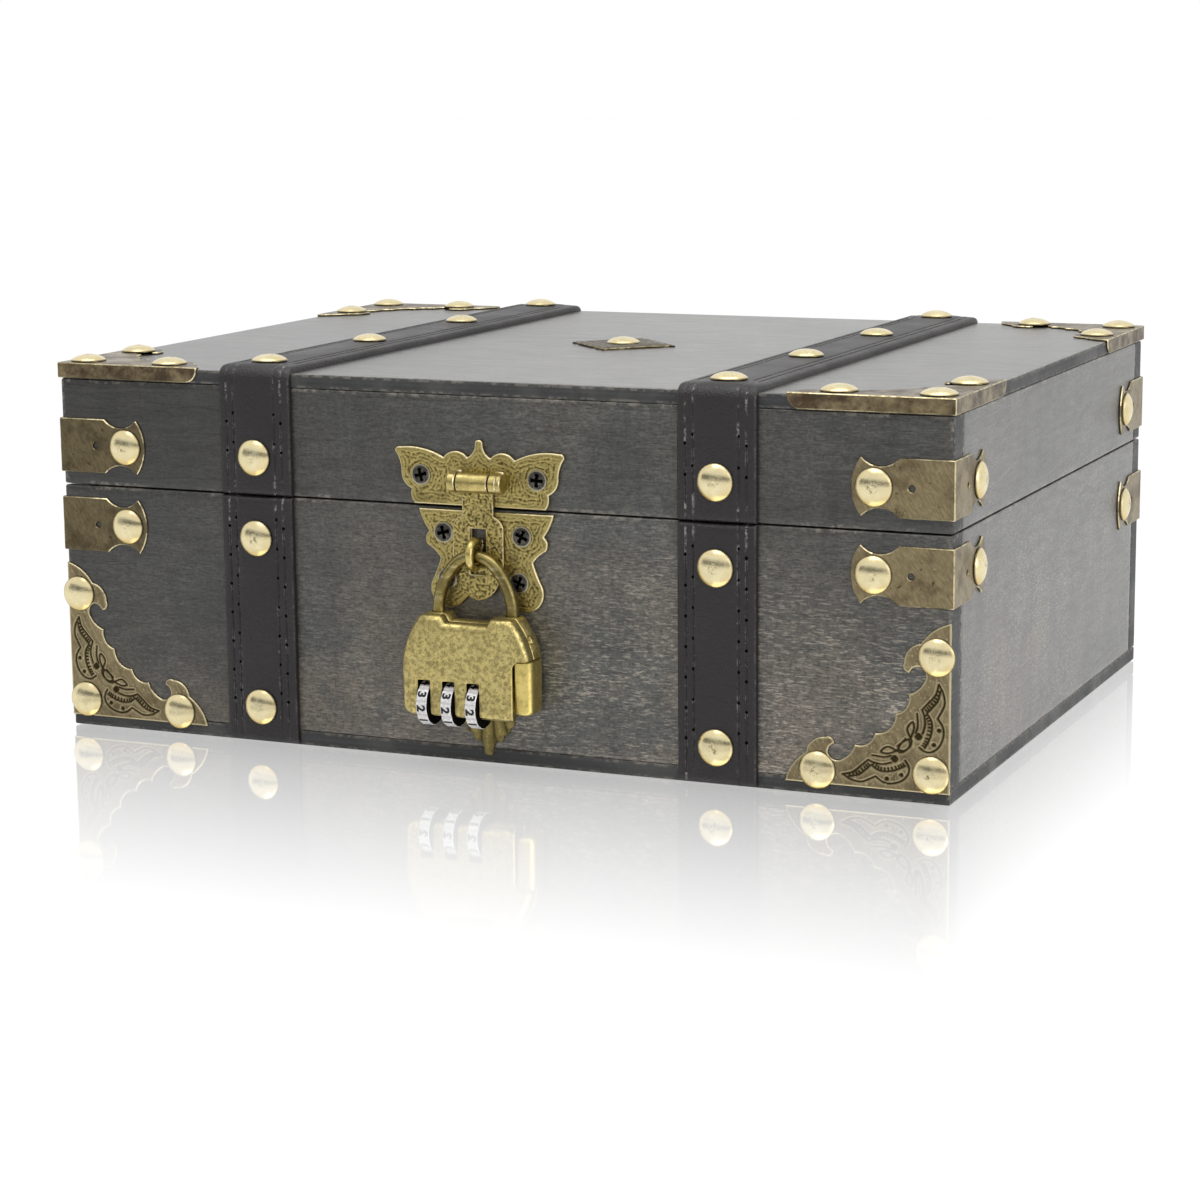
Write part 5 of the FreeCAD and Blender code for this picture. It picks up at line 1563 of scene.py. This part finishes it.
class CHEST_OT_hasp(ChestStep, bpy.types.Operator):
    """Casts the butterfly hasp's plates, flap, pin and staple"""

    bl_idname = "chest.hasp"
    bl_label = "Hasp"

    FINENESS = 0.8
    # Faces smaller than this stay plain, and plain places have this relief
    LEAST_AREA = 20 * MM * MM
    PLAIN = 0.7
    # Width over which the relief rises from the outline
    EDGE = 0.4 * MM

    def build(self, look):
        step = self.FINENESS * look.detail
        self.plate("hasp_upper_plate", "lid", "cast_brass", step, self.veins, skin=True)
        self.plate("hasp_lower_plate", "base", "cast_brass", step, self.veins, skin=False)
        self.plate("hasp_flap", "hasp", "cast_brass_flap", step, self.stipple, skin=True)
        for node, body in (("hasp_pin", "lid"), ("staple", "base")):
            settle(edged_piece(node, "turned", ("turned_brass", "bright_rim")), body, "antique_brass", node)

    def veins(self, points, distance):
        """Fine lines that follow the outline, broken up by a soft grain."""
        bend = ripple(points, 3.2 * MM, 5.0)
        bands = np.cos(math.tau * (distance + 0.9 * MM * bend) / (1.15 * MM))
        grit = ripple(points, 0.7 * MM, 9.0)
        inner = unit((distance - 0.5 * MM) / (0.6 * MM))
        line = unit(1.0 - np.abs(distance - 2.5 * MM) / (0.3 * MM))
        level = 0.56 + inner * (0.20 * bands + 0.46 * grit) - 0.2 * line
        height = unit(distance / self.EDGE) * (0.05 * MM + 0.20 * MM * unit(level))
        height = height + rounded_edge(distance, self.EDGE, 0.1 * MM)
        return height, level, unit(1.15 - distance / (0.5 * MM)), line

    def stipple(self, points, distance):
        """A close maze of small ridges and hollows."""
        bend = np.column_stack([ripple(points, 1.9 * MM, turn) for turn in (5.0, 8.0)])
        level = 0.54 + 0.46 * np.tanh(2.6 * ripple(points + 0.5 * MM * bend, 0.78 * MM, 3.0))
        height = unit(distance / self.EDGE) * (0.04 * MM + 0.24 * MM * unit(level))
        return height, level, 0.8 * unit(1.1 - distance / (0.45 * MM)), 0.0 * level

    def plate(self, node, body, dress, step, carve, skin):
        """A plate's solid with its front cut as relief; a skin lies over the solid, else it stands for it."""
        form = bmesh.new()
        dresses = (dress,)
        if skin:
            dresses = ("turned_brass", "bright_rim", dress)
            solid = edged_piece(node, "solid", dresses[:2])
            form.from_mesh(solid.data)
            put_away(solid)
        marks = [form.verts.layers.float.new(mark) for mark in RELIEF_MARKS]
        for vert in form.verts:
            vert[marks[0]] = self.PLAIN
        low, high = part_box(node)
        depth = 0.0 if skin else high.y - low.y
        for area, level, loops in facing_loops(node, FRONT):
            if area < self.LEAST_AREA:
                continue
            relief = relief_form(loops, FRONT, level, step, depth, carve)
            for face in relief.faces:
                face.material_index = len(dresses) - 1
            joined(form, relief)
        piece = piece_from(form, f"{node}_cast", dresses, SKINNED if skin else CAST)
        settle(piece, body, "antique_brass", node)


class CHEST_OT_leaf(ChestStep, bpy.types.Operator):
    """Flutes the leaf ornament behind the padlock"""

    bl_idname = "chest.leaf"
    bl_label = "Leaf Ornament"

    # The flutes spread from a root above the leaf; their number is by angle
    ROOT = 4 * MM
    FLUTES = 21.0
    RISE = 0.28 * MM
    EDGE = 1.6 * MM
    DROP = 0.42 * MM

    def build(self, look):
        low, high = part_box("leaf_ornament")
        root = np.array(((low.x + high.x) / 2, high.z + self.ROOT))

        def carve(points, distance):
            angle = np.arctan2(points[:, 0] - root[0], root[1] - points[:, 1])
            edge = unit(distance / self.EDGE)
            level = np.abs(np.cos(angle * self.FLUTES)) * (0.5 + 0.5 * edge)
            height = self.RISE * level * edge - self.DROP * (1.0 - edge) ** 2
            return height, 0.25 + 0.6 * level, 0.3 * (1.0 - edge), 0.0 * level

        relief_plate("leaf_ornament", "base", "fluted", "cast_brass_leaf", FRONT, look.detail, carve, CAST)


class CHEST_OT_diamond(ChestStep, bpy.types.Operator):
    """Embosses the diamond plate on the lid"""

    bl_idname = "chest.diamond"
    bl_label = "Diamond Plate"

    FINENESS = 1.2
    # Waves follow the outline; beads fill the plate further in
    WAVE = 2.4 * MM
    BEAD = 1.9 * MM
    BEADS_FROM = 4.5 * MM
    RISE = 0.22 * MM
    EDGE = 0.5 * MM
    DROP = 0.2 * MM
    RIM = 0.7 * MM

    def build(self, look):
        def carve(points, distance):
            waves = 0.5 + 0.5 * np.cos(math.tau * distance / self.WAVE)
            rows = np.cos(math.tau * points / self.BEAD)
            beads = 0.5 + 0.5 * rows[:, 0] * rows[:, 1]
            inner = unit((distance - self.BEADS_FROM) / MM)
            level = waves * (1.0 - inner) + beads * inner
            height = rounded_edge(distance, self.EDGE, self.DROP) + self.RISE * level * unit(distance / MM)
            return height, 0.3 + 0.5 * level, unit(1.2 - distance / self.RIM), unit(0.55 - level)

        step = self.FINENESS * look.detail
        relief_plate("diamond_plate", "lid", "embossed", "diamond_brass", UP, step, carve, ENGRAVED)


class CHEST_OT_padlock(ChestStep, bpy.types.Operator):
    """Dresses the padlock's case, shackle and button"""

    bl_idname = "chest.padlock"
    bl_label = "Padlock"

    # Body, finishes of faces and edges, and slot
    PIECES = {
        "padlock_front_case": ("padlock_case", "padlock_brass", "padlock_edge", "padlock_brass"),
        "padlock_back_case": ("padlock_case", "padlock_brass", "padlock_edge", "padlock_brass"),
        "padlock_button": ("button", "button_brass", "padlock_edge", "padlock_brass"),
        "padlock_shackle": ("shackle", "shackle_brass", "shackle_brass", "padlock_brass"),
        "dial_spindle": ("padlock_case", "screw_steel", "screw_steel", "screw_steel"),
        "shackle_retaining_pin": ("padlock_case", "screw_steel", "screw_steel", "screw_steel"),
    }
    # Painted shade on the pocket walls round the dials starts this far behind the case's front and reaches
    # this far round the dials
    BEHIND = 0.6 * MM
    ROOM = 0.7 * MM

    def build(self, _):
        for node, (body, dress, edge, slot) in self.PIECES.items():
            piece = edged_piece(node, "brass", (dress, edge, "pocket_dark"))
            if node.endswith("_case"):
                self.paint_pocket_shade(piece)
            settle(piece, body, slot, node)

    def paint_pocket_shade(self, piece):
        """Paints shade on the walls round the dials with a dark finish."""
        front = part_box("padlock_front_case")[0].y + self.BEHIND
        room = Vector((self.ROOM,) * 3)
        boxes = [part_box(f"dial_{place}") for place in DIAL_PLACES]
        boxes = [(low - room, high + room) for low, high in boxes]
        for face in piece.data.polygons:
            spot = face.center
            if spot.y > front and any(
                    all(low[axis] < spot[axis] < high[axis] for axis in range(3)) for low, high in boxes):
                face.material_index = 2


class CHEST_OT_dials(ChestStep, bpy.types.Operator):
    """Builds the grooved number dials with their figures"""

    bl_idname = "chest.dials"
    bl_label = "Dials"

    STEPS = 16
    # The figure at the front, and its turn from there
    SHOWN = 2
    LEAN = math.radians(6)
    # Wheel: half width and radius shares across it
    SECTION = ((-1.0, 0.90), (-1.0, 0.975), (-0.92, 1.0), (0.92, 1.0), (1.0, 0.975), (1.0, 0.90))
    # Groove: start and slope in shares of half a flat, depth in shares of the radius
    GROOVE_FROM = 0.72
    GROOVE_RUN = 0.16
    GROOVE_DEPTH = 0.02
    # Figures: height in widths of the wheel, stretch round it, thickness, and bold and longest
    # edge in font units
    TALL = 1.06
    STRETCH = 1.12
    THICK = 0.12 * MM
    BOLD = 0.04
    LONGEST = 0.11
    CUTS = 3

    def build(self, _):
        for place in DIAL_PLACES:
            node = f"dial_{place}"
            low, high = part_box(node)
            centre = (low + high) / 2
            radius = (high.z - low.z) / 2
            wheel = self.wheel(centre, radius, high.x - low.x)
            first = len(wheel.faces)
            joined(wheel, self.figures(centre, radius, high.x - low.x))
            wheel.faces.ensure_lookup_table()
            for face in wheel.faces[first:]:
                face.material_index = 1
            piece = piece_from(wheel, f"{node}_wheel", ("dial_metal", "dial_ink", "pocket_dark"))
            settle(piece, node, "dial_metal", node)

    def angle_of(self, digit):
        """Turn of a figure's middle from the front, upwards, in steps of a tenth."""
        return math.tau * (digit - self.SHOWN) / len(DIGITS) - self.LEAN

    @staticmethod
    def round_spot(centre, side, reach, turn):
        """A point beside a dial's centre, out by a reach and turned up from the front."""
        return centre + Vector((side, -reach * math.cos(turn), reach * math.sin(turn)))

    def wheel(self, centre, radius, wide):
        """A wheel across X with ten flats and a groove between each."""
        form = bmesh.new()
        mark = form.verts.layers.float.new("groove")
        count = len(DIGITS) * self.STEPS
        half = self.STEPS / 2
        rings = []
        for across, share in self.SECTION:
            ring = []
            for step in range(count):
                turn = math.tau * step / count + self.angle_of(0)
                beside = abs((step + half) % self.STEPS - half) / half
                groove = max(0.0, min(1.0, (beside - self.GROOVE_FROM) / self.GROOVE_RUN))
                reach = radius * share * (1.0 - self.GROOVE_DEPTH * groove)
                vert = form.verts.new(self.round_spot(centre, across * wide / 2, reach, turn))
                vert[mark] = groove
                ring.append(vert)
            rings.append(ring)
        bridged(form, rings)
        # Painted shade: the wheel's sides and the faces beside them take the dark pocket finish
        for side in (form.faces.new(rings[0]), form.faces.new(rings[-1][::-1])):
            side.material_index = 2
            for edge in side.edges:
                for face in edge.link_faces:
                    face.material_index = 2
        outward(form)
        return form

    def fine_figure(self, sign):
        """A figure one unit thick, cut into small triangles so that it bends closely."""
        letter = bpy.data.curves.new("figure", "FONT")
        letter.body = sign
        letter.offset = self.BOLD
        letter.align_x = "CENTER"
        letter.resolution_u = 5
        holder = linked("figure", letter)
        bpy.context.view_layer.update()
        graph = bpy.context.evaluated_depsgraph_get()
        mesh = bpy.data.meshes.new_from_object(holder.evaluated_get(graph))
        figure = bmesh.new()
        figure.from_mesh(mesh)
        bpy.data.objects.remove(holder)
        bpy.data.curves.remove(letter)
        bpy.data.meshes.remove(mesh)
        bmesh.ops.triangulate(figure, faces=figure.faces)
        for _ in range(self.CUTS):
            long = [edge for edge in figure.edges if edge.calc_length() > self.LONGEST]
            bmesh.ops.subdivide_edges(figure, edges=long, cuts=1)
            bmesh.ops.triangulate(figure, faces=figure.faces)
        raised = bmesh.ops.extrude_face_region(figure, geom=list(figure.faces), use_keep_orig=True)["geom"]
        for vert in (item for item in raised if isinstance(item, bmesh.types.BMVert)):
            vert.co.z = 1.0
        return figure

    def figures(self, centre, radius, wide):
        """Figures as thin plates bent round the wheel, lying on their sides."""
        form = bmesh.new()
        size = self.TALL * wide
        for digit, sign in enumerate(DIGITS):
            figure = self.fine_figure(sign)
            heights = [vert.co.y for vert in figure.verts]
            middle = (min(heights) + max(heights)) / 2
            for vert in figure.verts:
                reach = radius + self.THICK * (vert.co.z - 0.5)
                turn = self.angle_of(digit) - self.STRETCH * size * vert.co.x / radius
                vert.co = self.round_spot(centre, size * (vert.co.y - middle), reach, turn)
            joined(form, figure)
        outward(form)
        return form


class CHEST_OT_hinges(ChestStep, bpy.types.Operator):
    """Dresses the back hinges"""

    bl_idname = "chest.hinges"
    bl_label = "Hinges"

    # Body, finish and slot
    PIECES = {
        "hinge_base_leaves": ("base", "sheet_brass", "antique_brass"),
        "hinge_lid_leaves": ("lid", "sheet_brass", "antique_brass"),
        "hinge_pins": ("base", "turned_brass", "screw_steel"),
    }

    def build(self, _):
        for node, (body, dress, slot) in self.PIECES.items():
            settle(edged_piece(node, "brass", (dress, "bright_rim")), body, slot, node)


class CHEST_OT_stage(ChestStep, bpy.types.Operator):
    """Sets the white floor, soft lights, world and camera"""

    bl_idname = "chest.stage"
    bl_label = "Stage"
    settings = "chest_stage"

    # Power setting, place, target, width and depth of each light
    LIGHTS = {
        "overhead_light": ("top", (0.10, -0.25, 1.15), (0.0, 0.0, 0.05), 1.3, 1.0),
        "side_light": ("side", (1.25, -0.35, 0.55), (0.0, 0.0, 0.06), 0.9, 0.9),
    }
    # Floor: half its size, its gap under the box, how far under the box the mirror's fade starts
    # and its share at the sides
    FLOOR_HALF = 6.0
    FLOOR_CELLS = 24
    FLOOR_GAP = 0.3 * MM
    FADE_START = 0.01
    SIDE_FADE = 0.32
    FLOOR_GREY = (0.86, 0.86, 0.86, 1.0)
    FLOOR_GLOW = 1.08
    GLOW_SHARE = 0.86
    # Card: half its sweep in degrees, its parts, radius, foot and head
    CARD_HALF = 62
    CARD_PARTS = 12
    CARD_RADIUS = 2.4
    CARD_FOOT = 0.08
    CARD_HEAD = 0.72

    def build(self, look):
        scene = bpy.context.scene
        scene.view_settings.view_transform = "Standard"
        self.world(scene, look)
        self.floor(look)
        self.card()
        for name, (setting, place, target, wide, tall) in self.LIGHTS.items():
            self.light(name, getattr(look, setting), Vector(place), Vector(target), wide, tall)
        self.camera(scene, look)

    @staticmethod
    def shown(tree):
        """Share of a ray that sees the background as plain white: camera, mirrored and see-through rays."""
        path = add_node(tree, "ShaderNodeLightPath").outputs
        share = path["Is Camera Ray"]
        for name in ("Is Glossy Ray", "Is Transmission Ray"):
            share = add_node(tree, "ShaderNodeMath", {0: share, 1: path[name]}, operation="MAXIMUM")
        return share

    @staticmethod
    def bare_tree(owner):
        owner.use_nodes = True
        owner.node_tree.nodes.clear()
        return owner.node_tree

    def world(self, scene, look):
        scene.world = bpy.data.worlds.new("white_surround")
        tree = self.bare_tree(scene.world)
        soft = add_node(tree, "ShaderNodeBackground", {"Color": WHITE, "Strength": look.surround})
        white = add_node(tree, "ShaderNodeBackground", {"Color": WHITE})
        mix = add_node(tree, "ShaderNodeMixShader", {0: self.shown(tree), 1: soft, 2: white})
        add_node(tree, "ShaderNodeOutputWorld", {"Surface": mix})

    def floor(self, look):
        """White floor: shadow by its diffuse share, a mirror image that fades away from the box."""
        form = bmesh.new()
        bmesh.ops.create_grid(
            form, x_segments=self.FLOOR_CELLS, y_segments=self.FLOOR_CELLS, size=self.FLOOR_HALF)
        floor = linked("floor", mesh_from(form, "floor"))
        floor.location.z = -self.FLOOR_GAP
        material = bpy.data.materials.new("white_floor")
        tree = self.bare_tree(material)
        floor.data.materials.append(material)

        def add(kind, inputs=None, **settings):
            return add_node(tree, kind, inputs, **settings)

        place = add("ShaderNodeTexCoord").outputs["Object"]
        apart = add("ShaderNodeSeparateXYZ", {0: place}).outputs
        shares = []
        runs = (("X", CAD_BOX[1].x, self.SIDE_FADE * look.fade), ("Y", -CAD_BOX[0].y, look.fade))
        for axis, foot, run in runs:
            reach = add("ShaderNodeMath", {0: apart[axis]}, operation="ABSOLUTE")
            start = foot - self.FADE_START
            ends = {"Value": reach, "From Min": start, "From Max": start + run}
            shares.append(add("ShaderNodeMapRange", ends))
        far = add("ShaderNodeMath", dict(enumerate(shares)), operation="MAXIMUM")
        ahead = add("ShaderNodeMapRange", {"Value": far, "To Min": look.mirror, "To Max": 0.0})
        matt = add("ShaderNodeBsdfDiffuse", {"Color": self.FLOOR_GREY})
        white = add("ShaderNodeEmission", {"Strength": self.FLOOR_GLOW})
        mirror = add("ShaderNodeBsdfGlossy", {"Color": WHITE, "Roughness": 0.04})
        lit = add("ShaderNodeMixShader", {0: self.GLOW_SHARE, 1: matt, 2: white})
        wet = add("ShaderNodeMixShader", {0: ahead, 1: lit, 2: mirror})
        seen = add("ShaderNodeMixShader", {0: self.shown(tree), 1: matt, 2: wet})
        add("ShaderNodeOutputMaterial", {"Surface": seen})

    def card(self):
        """Grey studio card far in front, seen only as the darker band in the polished brass."""
        form = bmesh.new()
        pairs = []
        for step in range(self.CARD_PARTS + 1):
            angle = math.radians(2 * self.CARD_HALF * step / self.CARD_PARTS - self.CARD_HALF)
            spot = Vector((self.CARD_RADIUS * math.sin(angle), -self.CARD_RADIUS * math.cos(angle), 0.0))
            pairs.append([form.verts.new(spot + UP * height)
                          for height in (self.CARD_FOOT, self.CARD_HEAD)])
        for before, after in zip(pairs, pairs[1:]):
            form.faces.new(before + after[::-1])
        card = linked("grey_card", mesh_from(form, "grey_card"))
        card.visible_camera = False
        card.visible_shadow = False
        card.visible_diffuse = False
        make = Finish("grey_card")
        cloud = make.even(0.8, detail=2.0)
        make.done(make.mix(cloud, (0.16, 0.16, 0.165), (0.26, 0.26, 0.265)), 0.9)
        card.data.materials.append(make.material)

    @staticmethod
    def light(name, power, place, target, wide, tall):
        lamp = bpy.data.lights.new(name, "AREA")
        lamp.shape = "RECTANGLE"
        lamp.size = wide
        lamp.size_y = tall
        lamp.energy = power
        holder = linked(name, lamp)
        holder.location = place
        holder.rotation_euler = (target - place).to_track_quat("-Z", "Y").to_euler()
        holder.visible_camera = False

    @staticmethod
    def camera(scene, look):
        back = Vector((
            math.sin(look.azimuth) * math.cos(look.elevation),
            -math.cos(look.azimuth) * math.cos(look.elevation),
            math.sin(look.elevation)))
        right = Vector((math.cos(look.azimuth), math.sin(look.azimuth), 0.0))
        up = back.cross(right)
        across = right * math.cos(look.roll) + up * math.sin(look.roll)
        upright = up * math.cos(look.roll) - right * math.sin(look.roll)
        lens = bpy.data.cameras.new("camera")
        lens.lens = look.lens
        lens.sensor_width = 36.0
        lens.clip_start = 0.01
        lens.clip_end = 50.0
        camera = linked("camera", lens)
        turn = Matrix((across, upright, back)).transposed().to_4x4()
        camera.matrix_world = Matrix.Translation(Vector(look.target) + back * look.distance) @ turn
        scene.camera = camera


class CHEST_PT_panel(bpy.types.Panel):
    """Lists the chest's operators in the sidebar"""

    bl_label = "Treasure Chest Box"
    bl_idname = "CHEST_PT_panel"
    bl_space_type = "VIEW_3D"
    bl_region_type = "UI"
    bl_category = "Chest"

    def draw(self, context):
        for operator in OPERATORS:
            self.layout.operator(operator.bl_idname)


SETTINGS = {
    "chest_wood": ChestWoodSettings,
    "chest_leather": ChestLeatherSettings,
    "chest_brass": ChestBrassSettings,
    "chest_stage": ChestStageSettings,
}
OPERATORS = (
    CHEST_OT_boards,
    CHEST_OT_straps,
    CHEST_OT_stitches,
    CHEST_OT_tacks,
    CHEST_OT_screws,
    CHEST_OT_corner_fittings,
    CHEST_OT_ornate_plates,
    CHEST_OT_hasp,
    CHEST_OT_leaf,
    CHEST_OT_diamond,
    CHEST_OT_padlock,
    CHEST_OT_dials,
    CHEST_OT_hinges,
    CHEST_OT_stage,
)


def register():
    for name, group in SETTINGS.items():
        bpy.utils.register_class(group)
        setattr(bpy.types.Scene, name, PointerProperty(type=group))
    for kind in (*OPERATORS, CHEST_PT_panel):
        bpy.utils.register_class(kind)


def unregister():
    for kind in (CHEST_PT_panel, *reversed(OPERATORS)):
        bpy.utils.unregister_class(kind)
    for name, group in SETTINGS.items():
        delattr(bpy.types.Scene, name)
        bpy.utils.unregister_class(group)


def main():
    register()
    for operator in OPERATORS:
        area, name = operator.bl_idname.split(".")
        getattr(getattr(bpy.ops, area), name)()


if __name__ == "__main__":
    main()
